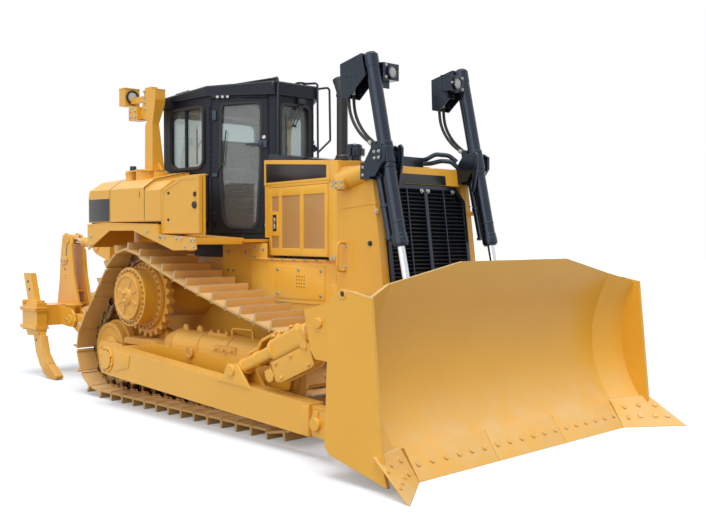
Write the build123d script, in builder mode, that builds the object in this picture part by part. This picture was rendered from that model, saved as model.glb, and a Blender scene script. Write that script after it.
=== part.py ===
from build123d import *
import os
from math import atan2, cos, degrees, hypot, radians, sin

# A crawler bulldozer with high drive sprockets, a semi-U blade on push arms and a
# parallelogram ripper.  Millimetres; +X forward, +Y left, +Z up; the origin is on the
# ground under the middle of the whole machine.

os.makedirs("parts", exist_ok=True)

# ---------------------------------------------------------------- driving dimensions
overall_length = 7500          # blade tips to the back of the ripper
half_length = overall_length / 2
blade_half_width = 1845        # over the end bits
track_gauge = 1980             # centre to centre
shoe_width = 560
link_pitch = 215.9
link_count = 40
grouser_height = 71

ground_pin_z = 141             # track pin line above the ground
idler_pin_radius = 360
sprocket_pin_radius = 417
front_idler = (1670, ground_pin_z + idler_pin_radius)
rear_idler = (-1330, ground_pin_z + idler_pin_radius)
sprocket_centre = (-715, 1100)
top_run_sag = 50
shoe_inner = 48                # shoe plate, measured outwards from the pin line
shoe_outer = 70
rail_depth = 52                # rail tread, measured inwards from the pin line

arm_pivot = (-750, 480)        # push arm trunnion, in the XZ plane
arm_tip = (2475, 294)
arm_y = 1392
arm_half = 75                  # half thickness of a push arm
brace_eye = (1360, 585)        # tilt cylinder, lower and upper pins
brace_top = (2480, 1060)
lift_y = 590
lift_trunnion = (2317, 2386)
lift_eye = (2700, 650)

ripper_low_pin = (-2150, 620)  # draw frame pin on the tractor
ripper_beam_pin = (-2890, 700)
ripper_link = (ripper_beam_pin[0] - ripper_low_pin[0], ripper_beam_pin[1] - ripper_low_pin[1])
tower_pin = (-3300, 1680)
tower_base_pin = (tower_pin[0] - ripper_link[0], tower_pin[1] - ripper_link[1])
ripper_lift_pin = (-2300, 1620)
ripper_lift_eye = (-2600, 668)
tower_y = 500
ripper_lift_y = 240

hood_front_x = 1740
hood_rear_x = 462
hood_front_half = 595
hood_rear_half = 400
hood_top_front = 2380
hood_top_rear = 2466
door_low = 1530
door_high = 2185
panel = 40                     # thickness of doors and covers

deck_top = 1690                # cab floor and platform
cab_front_x = 450
cab_pillar_x = -120
cab_rear_x = -700
cab_front_half = 250
cab_half = 670
cab_top = 3130
cab_step_z = 3058              # top of the cab behind its rear pillars
roof_front_top = 3262
roof_rear_top = 3185

SIDES = (("right", -1), ("left", 1))


# ---------------------------------------------------------------- small builders
def write(piece, node):
    piece.part.label = node
    export_step(piece.part, f"parts/{node}.step")


def block(x, y, z, mode=Mode.ADD):
    """A box given by its (low, high) pair on each axis."""
    low = (min(x), min(y), min(z))
    high = (max(x), max(y), max(z))
    centre = [(a + b) / 2 for a, b in zip(low, high)]
    with Locations(tuple(centre)):
        Box(*[b - a for a, b in zip(low, high)], mode=mode)


def side_plate(outline, y, mode=Mode.ADD):
    """A plate whose outline is drawn in XZ, between two values of y."""
    with BuildSketch(Plane.XZ.offset(-max(y))) as drawn:
        with BuildLine():
            Polyline(*outline, close=True)
        make_face()
    extrude(drawn.sketch, amount=max(y) - min(y), mode=mode)


def flat_plate(outline, z, mode=Mode.ADD):
    """A plate whose outline is drawn in XY, between two values of z."""
    with BuildSketch(Plane.XY.offset(min(z))) as drawn:
        with BuildLine():
            Polyline(*outline, close=True)
        make_face()
    extrude(drawn.sketch, amount=max(z) - min(z), mode=mode)


def cross_plate(outline, x, mode=Mode.ADD):
    """A plate whose outline is drawn in YZ, between two values of x."""
    with BuildSketch(Plane.YZ.offset(min(x))) as drawn:
        with BuildLine():
            Polyline(*outline, close=True)
        make_face()
    extrude(drawn.sketch, amount=max(x) - min(x), mode=mode)


def round_bar(start, end, radius, mode=Mode.ADD):
    """A cylinder from one point to another."""
    axis = Vector(*end) - Vector(*start)
    with Locations(Plane(origin=start, z_dir=axis)):
        Cylinder(radius, axis.length, align=(Align.CENTER, Align.CENTER, Align.MIN), mode=mode)


def cross_bar(point, y, radius, mode=Mode.ADD):
    """A cylinder along Y at an (x, z) point."""
    round_bar((point[0], min(y), point[1]), (point[0], max(y), point[1]), radius, mode)


def along(start, end, distance):
    """The (x, z) point at a distance from start towards end."""
    length = hypot(end[0] - start[0], end[1] - start[1])
    share = distance / length
    return (start[0] + share * (end[0] - start[0]), start[1] + share * (end[1] - start[1]))


def mirrored(outline, side):
    return [(x, side * y) for x, y in outline]


# ---------------------------------------------------------------- track loop
def tangent_points(a, a_radius, b, b_radius):
    """Where the outer tangent leaves circle a and meets circle b, going clockwise."""
    heading = atan2(b[1] - a[1], b[0] - a[0])
    turn = heading + atan2(b_radius - a_radius, hypot(b[0] - a[0], b[1] - a[1])) + radians(90)
    leave = (a[0] + a_radius * cos(turn), a[1] + a_radius * sin(turn))
    meet = (b[0] + b_radius * cos(turn), b[1] + b_radius * sin(turn))
    return leave, meet


def arc_top(centre, radius, start, end):
    """The middle point of the clockwise arc from start to end."""
    first = atan2(start[1] - centre[1], start[0] - centre[0])
    last = atan2(end[1] - centre[1], end[0] - centre[0])
    if last > first:
        last -= radians(360)
    middle = (first + last) / 2
    return (centre[0] + radius * cos(middle), centre[1] + radius * sin(middle))


rear_leave, sprocket_meet = tangent_points(rear_idler, idler_pin_radius, sprocket_centre,
                                           sprocket_pin_radius)
sprocket_leave, front_meet = tangent_points(sprocket_centre, sprocket_pin_radius, front_idler,
                                            idler_pin_radius)
front_low = (front_idler[0], ground_pin_z)
rear_low = (rear_idler[0], ground_pin_z)
sag_point = ((sprocket_leave[0] + front_meet[0]) / 2, (sprocket_leave[1] + front_meet[1]) / 2 - top_run_sag)

with BuildLine() as pin_line:
    Line(rear_leave, sprocket_meet)
    sprocket_top = arc_top(sprocket_centre, sprocket_pin_radius, sprocket_meet, sprocket_leave)
    ThreePointArc(sprocket_meet, sprocket_top, sprocket_leave)
    ThreePointArc(sprocket_leave, sag_point, front_meet)
    ThreePointArc(front_meet, arc_top(front_idler, idler_pin_radius, front_meet, front_low), front_low)
    Line(front_low, rear_low)
    ThreePointArc(rear_low, arc_top(rear_idler, idler_pin_radius, rear_low, rear_leave), rear_leave)

loop = pin_line.wire()
print("track loop", round(loop.length, 1), "for", link_count * link_pitch)
pins = [loop @ (i / link_count) for i in range(link_count)]
middle_pin = sum(pins, Vector(0, 0, 0)) / link_count
outward = []
for i in range(link_count):
    run = pins[(i + 1) % link_count] - pins[i - 1]
    normal = Vector(-run.Y, run.X, 0).normalized()
    if normal.dot(pins[i] - middle_pin) < 0:
        normal = -normal
    outward.append(normal)


def loop_points(offset):
    return [tuple(p + n * offset)[:2] for p, n in zip(pins, outward)]


def shoe_points():
    """The outer outline: a plate from pin to pin with one grouser on each."""
    points = []
    for i in range(link_count):
        ahead = (pins[(i + 1) % link_count] - pins[i]).normalized()
        foot = pins[i] + outward[i] * shoe_outer
        crest = foot + outward[i] * grouser_height
        for corner in (foot, crest, crest + ahead * 16, foot + ahead * 30):
            points.append(tuple(corner)[:2])
    return points


rail_rows = (-85, -45), (45, 85)

for name, side in SIDES:
    track_y = side * track_gauge / 2
    with BuildPart() as track:
        side_plate(shoe_points(), (track_y - shoe_width / 2, track_y + shoe_width / 2))
        side_plate(loop_points(shoe_inner), (track_y - shoe_width / 2, track_y + shoe_width / 2),
                   Mode.SUBTRACT)
        for low, high in rail_rows:
            with BuildSketch(Plane.XZ.offset(-(track_y + high))) as rail:
                with BuildLine():
                    Polyline(*loop_points(shoe_inner + 4), close=True)
                make_face()
                with BuildLine():
                    Polyline(*loop_points(-rail_depth), close=True)
                make_face(mode=Mode.SUBTRACT)
            extrude(rail.sketch, amount=high - low)
    write(track, f"track_{name}")

# ---------------------------------------------------------------- wheels of the undercarriage
roller_pitch = 345
roller_xs = [-865 + roller_pitch * i for i in range(7)]
roller_z = ground_pin_z + rail_depth + 101
idler_tread = 290
hub_out = 1250

with BuildPart() as idlers:
    for side in (-1, 1):
        middle = side * track_gauge / 2
        for centre in (front_idler, rear_idler):
            cross_bar(centre, (middle - 110, middle + 110), idler_tread)
            cross_bar(centre, (middle - 36, middle + 36), idler_tread + 26)
            cross_bar(centre, (middle - 150, middle + 150), 95)
write(idlers, "idlers")

with BuildPart() as rollers:
    for side in (-1, 1):
        middle = side * track_gauge / 2
        for x in roller_xs:
            cross_bar((x, roller_z), (middle - 118, middle + 118), 100)
            cross_bar((x, roller_z), (middle - 118, middle - 92), 120)
            cross_bar((x, roller_z), (middle + 92, middle + 118), 120)
            cross_bar((x, roller_z), (middle - 150, middle + 150), 45)
write(rollers, "rollers")

tooth_count = 24
drum_radius = 292
with BuildPart() as sprockets:
    for side in (-1, 1):
        middle = side * track_gauge / 2
        outline = []
        for i in range(tooth_count):
            for share, radius in ((0, 378), (0.3, 378), (0.5, 424), (0.8, 424)):
                angle = radians(360 / tooth_count * (i + share))
                outline.append((sprocket_centre[0] + radius * cos(angle),
                                sprocket_centre[1] + radius * sin(angle)))
        side_plate(outline, (middle - 34, middle + 34))
        cross_bar(sprocket_centre, (middle - 36, middle + 36), drum_radius + 2, Mode.SUBTRACT)
write(sprockets, "sprockets")

with BuildPart() as final_drives:
    for side in (-1, 1):
        cross_bar(sprocket_centre, (side * 352, side * 955), 225)
        cross_bar(sprocket_centre, (side * 900, side * 1200), drum_radius)
        cross_bar(sprocket_centre, (side * 1030, side * 1060), 345)
        cross_bar(sprocket_centre, (side * 1200, side * 1228), 300)
        cross_bar(sprocket_centre, (side * 1228, side * hub_out), 235)
write(final_drives, "final_drives")

# Each roller frame: a box beam over the rollers, the recoil housing on top, forks to both
# idlers, side guards over the roller shafts and the trunnion that carries the push arm.
frame_beam = [(-990, 425), (1270, 425), (1270, 560), (1050, 640), (-420, 640), (-990, 560)]
front_fork = [(1180, 380), (1760, 430), (1790, 540), (1700, 600), (1180, 600)]
rear_fork = [(-1440, 440), (-960, 400), (-960, 590), (-1380, 600), (-1440, 560)]
rear_guide = [(-1080, 300), (-1040, 235), (-900, 235), (-840, 430), (-1080, 430)]
front_guide = [(1420, 300), (1380, 240), (1240, 240), (1200, 430), (1420, 430)]
for name, side in SIDES:
    middle = side * track_gauge / 2
    with BuildPart() as roller_frame:
        side_plate(frame_beam, (middle - 150, middle + 150))
        for edge in (-1, 1):
            near = middle + edge * 152
            far = middle + edge * 186
            side_plate(front_fork, (near, far))
            side_plate(rear_fork, (near, far))
            side_plate(rear_guide, (near, far))
            side_plate(front_guide, (near, far))
        block((1180, 1262), (middle - 186, middle + 186), (430, 600))
        block((-985, -950), (middle - 186, middle + 186), (430, 560))
        round_bar((-120, middle, 655), (1230, middle, 655), 148)
        round_bar((1230, middle, 655), (1262, middle, 655), 165)
        cross_bar(arm_pivot, (side * 1140, side * (arm_y - 118)), 120)
        cross_bar(arm_pivot, (side * (arm_y - 118), side * (arm_y - 84)), 88)
        cross_bar(arm_pivot, (side * 352, side * 850), 78)
    write(roller_frame, f"roller_frame_{name}")

# ---------------------------------------------------------------- main frame and engine
case_half = 350
rear_face = -1900
pull_x = 2080                  # upright pin of the front pull device, between two plates
pull_low = 650
pull_high = 790
with BuildPart() as main_frame:
    hull = [(rear_face, 640), (-1650, 520), (1500, 500), (2000, 640), (2000, 1040), (1500, 1080),
            (-200, 1120),
            (-200, 1500), (rear_face, 1560)]
    side_plate(hull, (-case_half, case_half))
    block((345, 1740), (-case_half - 130, case_half + 130), (960, 1500))
    block((-200, 510), (-case_half - 80, case_half + 80), (1100, 1659))
    block((640, 1600), (-case_half - 142, case_half + 142), (1090, 1470))
    block((1560, 1740), (-case_half - 180, case_half + 180), (1040, 1300))
    block((980, 1100), (-820, 820), (650, 760))
    block((520, 1720), (-300, 300), (1060, 1502), Mode.SUBTRACT)
    pull_plan = [(1990, -130), (2090, -90), (2150, -40), (2150, 40), (2090, 90), (1990, 130)]
    for z in (pull_low, pull_high - 35):
        flat_plate(pull_plan, (z, z + 35))
    round_bar((pull_x, 0, pull_low - 1), (pull_x, 0, pull_high + 1), 28, Mode.SUBTRACT)
write(main_frame, "main_frame")

with BuildPart() as engine_block:
    block((600, 1640), (-260, 260), (1070, 2180))
write(engine_block, "engine_block")

# ---------------------------------------------------------------- guard, grille and hood
guard_rear = 1742
guard_half = 620
guard_top = (2175, 2320)       # the front face leans back, from its foot to its top
guard_foot = (2338, 1064)
grille_half = 530
guard_profile = [(guard_rear, guard_foot[1]), guard_foot, guard_top, (guard_rear, guard_top[1])]
with BuildPart() as radiator_guard:
    side_plate(guard_profile, (-guard_half, guard_half))
    block((1800, 2400), (-grille_half - 4, grille_half + 4), (guard_foot[1] + 36, guard_top[1] - 150),
          Mode.SUBTRACT)
    block((1700, 1801), (-460, 460), (guard_foot[1] + 60, guard_top[1] - 200), Mode.SUBTRACT)
    guard_edges = radiator_guard.edges().filter_by(Axis.X).group_by(Axis.Z)[-1].sort_by(Axis.Y)
    chamfer([guard_edges[0], guard_edges[-1]], 70)
    for side in (-1, 1):
        round_bar((1800, side * 640, 2187), (2100, side * 606, 2251), 78)
write(radiator_guard, "radiator_guard")

lean = atan2(guard_foot[0] - guard_top[0], guard_top[1] - guard_foot[1])
grille_plane = Plane(origin=(guard_foot[0], 0, guard_foot[1]), x_dir=(0, 1, 0),
                     z_dir=(cos(lean), 0, sin(lean)))
grille_outline = [(-grille_half, 52), (grille_half, 52), (grille_half, 976), (410, 1104), (-410, 1104),
                  (-grille_half, 976)]
slot_height = 34
with BuildPart() as grille:
    with BuildSketch(grille_plane.offset(-40)) as grille_face:
        with BuildLine():
            Polyline(*grille_outline, close=True)
        make_face()
        for row in range(15):
            reach = 470 if row < 13 else 370
            for side in (-1, 1):
                with Locations((side * (20 + reach / 2), 94 + 66 * row)):
                    Rectangle(reach, slot_height, mode=Mode.SUBTRACT)
    extrude(grille_face.sketch, amount=56)
    with BuildSketch(grille_plane.offset(-80)) as core_face:
        with BuildLine():
            Polyline(*grille_outline, close=True)
        make_face()
    extrude(core_face.sketch, amount=42)
write(grille, "grille")


def hood_half(x):
    share = (hood_front_x - x) / (hood_front_x - hood_rear_x)
    return hood_front_half + share * (hood_rear_half - hood_front_half)


def hood_strip(front, rear, outside, thickness, side):
    """The plan outline of a strip along the tapering hood side."""
    near = [(front, hood_half(front) + outside), (rear, hood_half(rear) + outside)]
    far = [(rear, hood_half(rear) + outside - thickness), (front, hood_half(front) + outside - thickness)]
    return mirrored(near + far, side)


door_front = 1590
door_rear = 562               # far enough forward to swing past the platform
with BuildPart() as hood:
    roof = [(hood_front_x, 2212), (hood_front_x, hood_top_front), (hood_rear_x, hood_top_rear),
            (hood_rear_x, 2212)]
    side_plate(roof, (-620, 620))
    for side in (-1, 1):
        outside = [(hood_front_x + 1, side * hood_half(hood_front_x)),
                   (hood_rear_x - 1, side * hood_half(hood_rear_x)),
                   (hood_rear_x - 1, side * 700), (hood_front_x + 1, side * 700)]
        flat_plate(outside, (2200, 2500), Mode.SUBTRACT)
    block((hood_rear_x + 60, 1700), (-300, 300), (2200, 2345), Mode.SUBTRACT)
    for side in (-1, 1):
        flat_plate(hood_strip(hood_front_x, door_front + 12, 0, 60, side), (1502, 2230))
        flat_plate(hood_strip(door_rear - 8, hood_rear_x, 0, 60, side), (deck_top + 14, 2230))
write(hood, "hood")

for name, side in SIDES:
    with BuildPart() as engine_door:
        flat_plate(hood_strip(door_front, door_rear, 2, panel, side), (door_low, door_high))
    write(engine_door, f"engine_door_{name}")

# ---------------------------------------------------------------- exhaust and air intake
with BuildPart() as exhaust_stack:
    with BuildLine() as stack_line:
        stack_path = FilletPolyline((1310, -150, 2415), (1310, -150, 3060), (1255, -150, 3190), radius=90)
    with BuildSketch(Plane(origin=(1310, -150, 2415), z_dir=(0, 0, 1))) as stack_section:
        Circle(52)
    sweep(stack_section.sketch, path=stack_path)
    round_bar((1310, -150, 2415), (1310, -150, 2445), 75)
write(exhaust_stack, "exhaust_stack")

with BuildPart() as precleaner:
    round_bar((1200, 110, 2422), (1200, 110, 2490), 70)
    round_bar((1200, 110, 2490), (1200, 110, 2560), 105)
    round_bar((1200, 110, 2560), (1200, 110, 2590), 80)
write(precleaner, "precleaner")

# ---------------------------------------------------------------- fenders, tanks and boxes
fender_outer = 1270
fender_inner = 720
fender_front = 540
shelf = [(-1494, 1806), (-1494, 1836), (-1150, 1850), (-98, 1829), (-98, 1799), (-1150, 1818)]
step = [(-98, 1699), (-98, 1731), (fender_front, 1700), (fender_front, 1668)]
skirt = [(-1486, 1571), (-1494, 1836), (-1150, 1850), (-98, 1829), (-98, 1731), (fender_front, 1700),
         (fender_front, 1591), (163, 1582), (-560, 1772), (-1030, 1775)]
with BuildPart() as fenders:
    for side in (-1, 1):
        side_plate(skirt, (side * (fender_outer - 14), side * fender_outer))
        side_plate(shelf, (side * fender_inner, side * fender_outer))
        side_plate(step, (side * fender_inner, side * fender_outer))
        block((-98, fender_front - 12), (side * 352, side * (fender_inner + 20)), (1660, 1688))
        block((-112, -98), (side * fender_inner, side * fender_outer), (1700, 1829))
        block((-1494, -1470), (side * fender_inner, side * fender_outer), (1600, 1836))
write(fenders, "fenders")

tank_rear = -1530
tank_front = -100
tank_split = -420
tank_outer = 1235
post_y = 860                   # roll-over posts
post_x = -808
tank_section = [(690, 1862), (tank_outer, 1862), (tank_outer, 2200), (1110, 2290), (690, 2380)]
for node, side in (("side_tank_right", -1), ("side_tank_left", 1)):
    with BuildPart() as side_tank:
        cross_plate([(side * y, z) for y, z in tank_section], (tank_rear, tank_split))
        side_plate([(tank_rear - 1, 2120), (tank_rear - 1, 2400), (-1430, 2400)], (side * 600, side * 1300),
                   Mode.SUBTRACT)
        block((post_x - 78, post_x + 79), (side * (post_y - 76), side * (post_y + 76)), (2200, 2400),
              Mode.SUBTRACT)
        round_bar((post_x, side * post_y, 2320), (post_x, side * post_y, 2420), 151, Mode.SUBTRACT)
        shoulder = [(y, z - 30) for y, z in tank_section[2:]]
        cross_plate([(side * y, z) for y, z in [(690, 1862), (tank_outer, 1862),
                                                (tank_outer, 2170)] + shoulder[1:]],
                    (tank_split, tank_front))
    write(side_tank, node)

box_rear = -94
box_front = 550
box_low = 1735
box_top = 2286
door_gap = 4
box_plan = [(box_front, tank_outer), (box_front, 1165), (box_front - 70, 1118), (120, 1118),
            (box_rear, 900), (box_rear, tank_outer)]
shoulder_foot, shoulder_bend, shoulder_head = (box_rear, 2148), (-44, 2186), (262, box_top)
box_shoulder = [(box_rear - 1, shoulder_foot[1]), shoulder_bend, shoulder_head, (262, box_top + 14),
                (box_rear - 1, box_top + 14)]
with BuildPart() as battery_box:
    flat_plate(mirrored(box_plan, -1), (box_low, box_top))
    side_plate(box_shoulder, (-1300, -850), Mode.SUBTRACT)
    block((box_rear + 28, box_front - 78), (-tank_outer - 1, -1140), (box_low + 28, 2110), Mode.SUBTRACT)
    block((box_rear - 1, box_front + 1), (-tank_outer - 1, -tank_outer + 42), (box_low - 1, box_top + 1),
          Mode.SUBTRACT)
write(battery_box, "battery_box")

with BuildPart() as battery_box_door:
    leaf_low, leaf_high = box_low + 7, box_top - 8
    leaf = [(box_rear + door_gap, leaf_low), (box_front - door_gap, leaf_low),
            (box_front - door_gap, leaf_high), (shoulder_head[0], leaf_high),
            (shoulder_bend[0], shoulder_bend[1] - 8), (box_rear + door_gap, shoulder_foot[1] - 6)]
    side_plate(leaf, (-tank_outer, -tank_outer + 34))
write(battery_box_door, "battery_box_door")

with BuildPart() as tool_box:
    flat_plate(box_plan, (box_low, box_top))
    side_plate(box_shoulder, (850, 1300), Mode.SUBTRACT)
write(tool_box, "tool_box")

with BuildPart() as fuel_tank:
    block((-1560, -760), (-685, 685), (1590, 2360))
    tank_edges = fuel_tank.edges().filter_by(Axis.Y).group_by(Axis.X)[0]
    chamfer(tank_edges.sort_by(Axis.Z)[-1:], 120)
write(fuel_tank, "fuel_tank")

# ---------------------------------------------------------------- cab
door_plan_front = (cab_front_x, cab_front_half)
door_plan_rear = (cab_pillar_x, cab_half)
door_vector = (door_plan_rear[0] - door_plan_front[0], door_plan_rear[1] - door_plan_front[1])
door_length = hypot(*door_vector)
wall = 44


def on_door(distance, depth=0.0):
    """Plan point on the left door face, back from its front corner; depth goes into the cab."""
    ux = door_vector[0] / door_length
    uy = door_vector[1] / door_length
    return (door_plan_front[0] + ux * distance - uy * depth,
            door_plan_front[1] + uy * distance + ux * depth)


cab_plan = [(cab_front_x, -cab_front_half), (cab_pillar_x, -cab_half), (cab_rear_x, -cab_half),
            (cab_rear_x, cab_half), (cab_pillar_x, cab_half), (cab_front_x, cab_front_half)]
cab_inside = [(cab_front_x - wall, -cab_front_half + 14), (cab_pillar_x - 16, -cab_half + wall),
              (cab_rear_x + wall, -cab_half + wall), (cab_rear_x + wall, cab_half - wall),
              (cab_pillar_x - 16, cab_half - wall), (cab_front_x - wall, cab_front_half - 14)]
doorway_low = 1740
doorway_high = 3100
doorway_front = 69             # the leaf has to swing past the hood's rear corner
doorway_rear = door_length - 40
leaf_gap = 6
window_edge = 110
rear_wall_x = -930
with BuildPart() as cab_shell:
    flat_plate(cab_plan, (deck_top, cab_top))
    block((rear_wall_x, cab_rear_x + 1), (-cab_half, cab_half), (2370, cab_step_z))
    flat_plate(cab_inside, (deck_top + 30, cab_top + 1), Mode.SUBTRACT)
    block((rear_wall_x + wall, cab_rear_x + 50), (-cab_half + wall, cab_half - wall), (2400, 3030),
          Mode.SUBTRACT)
    for side in (-1, 1):
        doorway = [on_door(doorway_front, 60), on_door(doorway_rear, 60), on_door(doorway_rear, -60),
                   on_door(doorway_front, -60)]
        flat_plate(mirrored(doorway, side), (doorway_low, doorway_high), Mode.SUBTRACT)
        block((-790, -190), (side * 600, side * 700), (2420, 3030), Mode.SUBTRACT)
    block((380, 500), (-190, 190), (2130, 3040), Mode.SUBTRACT)
    block((rear_wall_x - 10, rear_wall_x + 60), (-560, 560), (2440, 3000), Mode.SUBTRACT)
write(cab_shell, "cab_shell")

roof_rear_x = rear_wall_x - 12
roof_plan = [(cab_front_x + 30, -290), (cab_pillar_x, -cab_half - 30), (roof_rear_x, -cab_half - 30),
             (roof_rear_x, cab_half + 30), (cab_pillar_x, cab_half + 30), (cab_front_x + 30, 290)]
roof_slope = [(roof_rear_x - 1, roof_rear_top), (cab_front_x + 31, roof_front_top),
              (cab_front_x + 31, 3400),
              (roof_rear_x - 1, 3400)]
with BuildPart() as cab_roof:
    flat_plate(roof_plan, (cab_top, roof_front_top))
    block((roof_rear_x, cab_rear_x - 1), (-cab_half - 30, cab_half + 30), (cab_step_z + 2, cab_top + 1))
    side_plate(roof_slope, (-720, 720), Mode.SUBTRACT)
    chamfer(cab_roof.faces().sort_by(Axis.Z)[-1].edges(), 16)
    block((-868, -736), (-720, 720), (3073, 3159), Mode.SUBTRACT)
write(cab_roof, "cab_roof")

glass = 8
with BuildPart() as cab_glass:
    block((416, 416 + glass), (-188, 188), (2132, 3038))
    for side in (-1, 1):
        for rear, front in ((-788, -530), (-510, -192)):
            block((rear, front), (side * 650, side * (650 - glass)), (2422, 3028))
        block((-530, -510), (side * 660, side * 640), (2422, 3028))
    block((rear_wall_x + 20, rear_wall_x + 20 + glass), (-558, 558), (2442, 2998))
write(cab_glass, "cab_glass")

for name, side in SIDES:
    leaf_front = doorway_front + leaf_gap
    leaf_rear = doorway_rear - leaf_gap
    leaf_plan = [on_door(leaf_front), on_door(leaf_rear), on_door(leaf_rear, panel),
                 on_door(leaf_front, panel)]
    with BuildPart() as cab_door:
        flat_plate(mirrored(leaf_plan, side), (doorway_low + leaf_gap, doorway_high - leaf_gap))
        window_rear = door_length - window_edge
        window = [on_door(window_edge, -20), on_door(window_rear, -20), on_door(window_rear, 60),
                  on_door(window_edge, 60)]
        flat_plate(mirrored(window, side), (1810, 3050), Mode.SUBTRACT)
    write(cab_door, f"cab_door_{name}")
    pane_front = window_edge + 1
    pane_rear = window_rear - 1
    pane = [on_door(pane_front, 14), on_door(pane_rear, 14), on_door(pane_rear, 14 + glass),
            on_door(pane_front, 14 + glass)]
    with BuildPart() as door_glass:
        flat_plate(mirrored(pane, side), (1811, 3049))
    write(door_glass, f"door_glass_{name}")

with BuildPart() as seat:
    block((-480, -60), (-240, 240), (1722, 2010))
    block((-520, 0), (-260, 260), (2010, 2120))
    side_plate([(-520, 2120), (-380, 2120), (-470, 2760), (-590, 2760)], (-245, 245))
    block((-420, 20), (-330, -265), (2180, 2240))
    block((-420, 20), (265, 330), (2180, 2240))
    block((-300, -240), (-330, -262), (2040, 2180))
    block((-300, -240), (262, 330), (2040, 2180))
write(seat, "seat")

with BuildPart() as cab_controls:
    block((250, 395), (-180, 180), (1722, 2380))
    round_bar((-60, -298, 2246), (-30, -298, 2370), 22)
    round_bar((-60, 298, 2246), (-30, 298, 2370), 22)
write(cab_controls, "cab_controls")

# ---------------------------------------------------------------- roll-over frame and lamps
with BuildPart() as rops_frame:
    for side in (-1, 1):
        near, far = side * (post_y - 75), side * (post_y + 75)
        post = [(post_x - 76, 2204), (post_x + 77, 2204), (post_x + 80, 2880), (post_x + 138, 3130),
                (post_x + 138, 3236), (post_x + 51, 3236), (post_x - 22, 2930), (post_x - 62, 2870)]
        side_plate(post, (near, far))
        waist = [(post_y - 80, 2400), (post_y - 70, 2400), (post_y - 5, 2890), (post_y - 45, 3078),
                 (post_y - 45, 3240), (post_y - 80, 3240)]
        cross_plate([(side * y, z) for y, z in waist], (post_x - 100, post_x + 150), Mode.SUBTRACT)
        round_bar((post_x, side * post_y, 2321), (post_x, side * post_y, 2385), 150)
    block((-862, -742), (-post_y + 40, post_y - 40), (3078, 3154))
write(rops_frame, "rops_frame")

with BuildPart() as rear_lamps:
    for side in (-1, 1):
        block((-1368, -1250), (side * 770, side * 950), (3125, 3310))
        block((-1251, -950), (side * 835, side * 885), (3140, 3200))
        block((-1190, -1020), (side * 800, side * 940), (2950, 3085))
        bracket = [(-1045, 2975), (-905, 2935), (-866, 2925), (-805, 3085), (-805, 3278), (-932, 3278),
                   (-985, 3114)]
        side_plate(bracket, (side * 825, side * 895))
write(rear_lamps, "rear_lamps")

# ---------------------------------------------------------------- blade
face_foot = (3223, 208)        # the moldboard's front, two tangent arcs from foot to lip
face_middle = (3008, 793)
face_turn = (3103, 1200)
face_lip = (3223, 1525)
face_heading = (0.445, 0.8955) # of the face at its turn
skin = 30
centre_half = 1440
wing_out = 1738
wing_forward = 130
end_plate = 30


def blade_section(y, shift=0.0):
    """Moldboard section at a y: the concave front face, and its back a skin behind it."""
    foot, middle, turn, lip = [(x + shift, z) for x, z in (face_foot, face_middle, face_turn, face_lip)]
    with BuildSketch(Plane.XZ.offset(-y)) as section:
        with BuildLine():
            for back in (0, skin):
                ThreePointArc((foot[0] - back, foot[1]), (middle[0] - back, middle[1]),
                              (turn[0] - back, turn[1]))
                TangentArc((turn[0] - back, turn[1]), (lip[0] - back, lip[1]), tangent=face_heading)
            Line(lip, (lip[0] - skin, lip[1]))
            Line(foot, (foot[0] - skin, foot[1]))
        make_face()
    return section.sketch


top_cut = [(694, 1525), (1467, 1373), (1727, 1289), (1900, 1240), (1900, 1700), (694, 1700)]
with BuildPart() as blade:
    extrude(blade_section(centre_half), amount=2 * centre_half)
    for side in (-1, 1):
        loft([blade_section(side * centre_half), blade_section(side * wing_out, wing_forward)])
    for side in (-1, 1):
        cross_plate([(side * y, z) for y, z in top_cut], (2800, 3700), Mode.SUBTRACT)
    # the box sections across the back, and the upright ribs between them
    back_low = [(3194, 212), (3120, 180), (2860, 180), (2860, 480), (3035, 480)]
    side_plate(back_low, (-1700, 1700))
    back_high = [(3002, 960), (2920, 960), (2920, 1180), (3130, 1350), (3160, 1350), (3060, 1150)]
    side_plate(back_high, (-1460, 1460))
    for y in (-1060, -330, 330, 1060):
        side_plate([(2900, 470), (3044, 470), (2992, 700), (3002, 970), (2940, 970)], (y - 15, y + 15))
    end_outline = [(3420, 190), (3470, 44), (2905, 176), (2852, 225), (2881, 888), (2905, 1271),
                   (2950, 1322),
                   (3043, 1346), (3140, 1335), (3312, 1300)]
    for side in (-1, 1):
        side_plate(end_outline, (side * wing_out, side * (wing_out + end_plate)))
    # lugs for the two lift cylinders
    for side in (-1, 1):
        for offset in (-93, 75):
            y = side * lift_y + offset
            lug = [(2870, 180), (2870, 470), (3036, 480), (2982, 800), (2930, 740), (2745, 690),
                   (2655, 690),
                   (2640, 590), (2760, 470)]
            side_plate(lug, (y, y + 18))
    # clevis for each push arm, and the deeper bracket above it for the tilt cylinder
    for side in (-1, 1):
        for inner in (arm_y - 118, arm_y + 94):
            lug = [(2870, 180), (2870, 470), (2600, 410), (2430, 370), (2400, 294), (2430, 200),
                   (2600, 180)]
            side_plate(lug, (side * inner, side * (inner + 22)))
        for inner in (arm_y - 98, arm_y + 76):
            lug = [(3160, 1356), (3120, 1345), (2307, 1152), (2380, 851), (2438, 782), (2870, 762),
                   (2980, 800),
                   (2990, 1130)]
            side_plate(lug, (side * inner, side * (inner + 20)))
write(blade, "blade")

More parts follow.
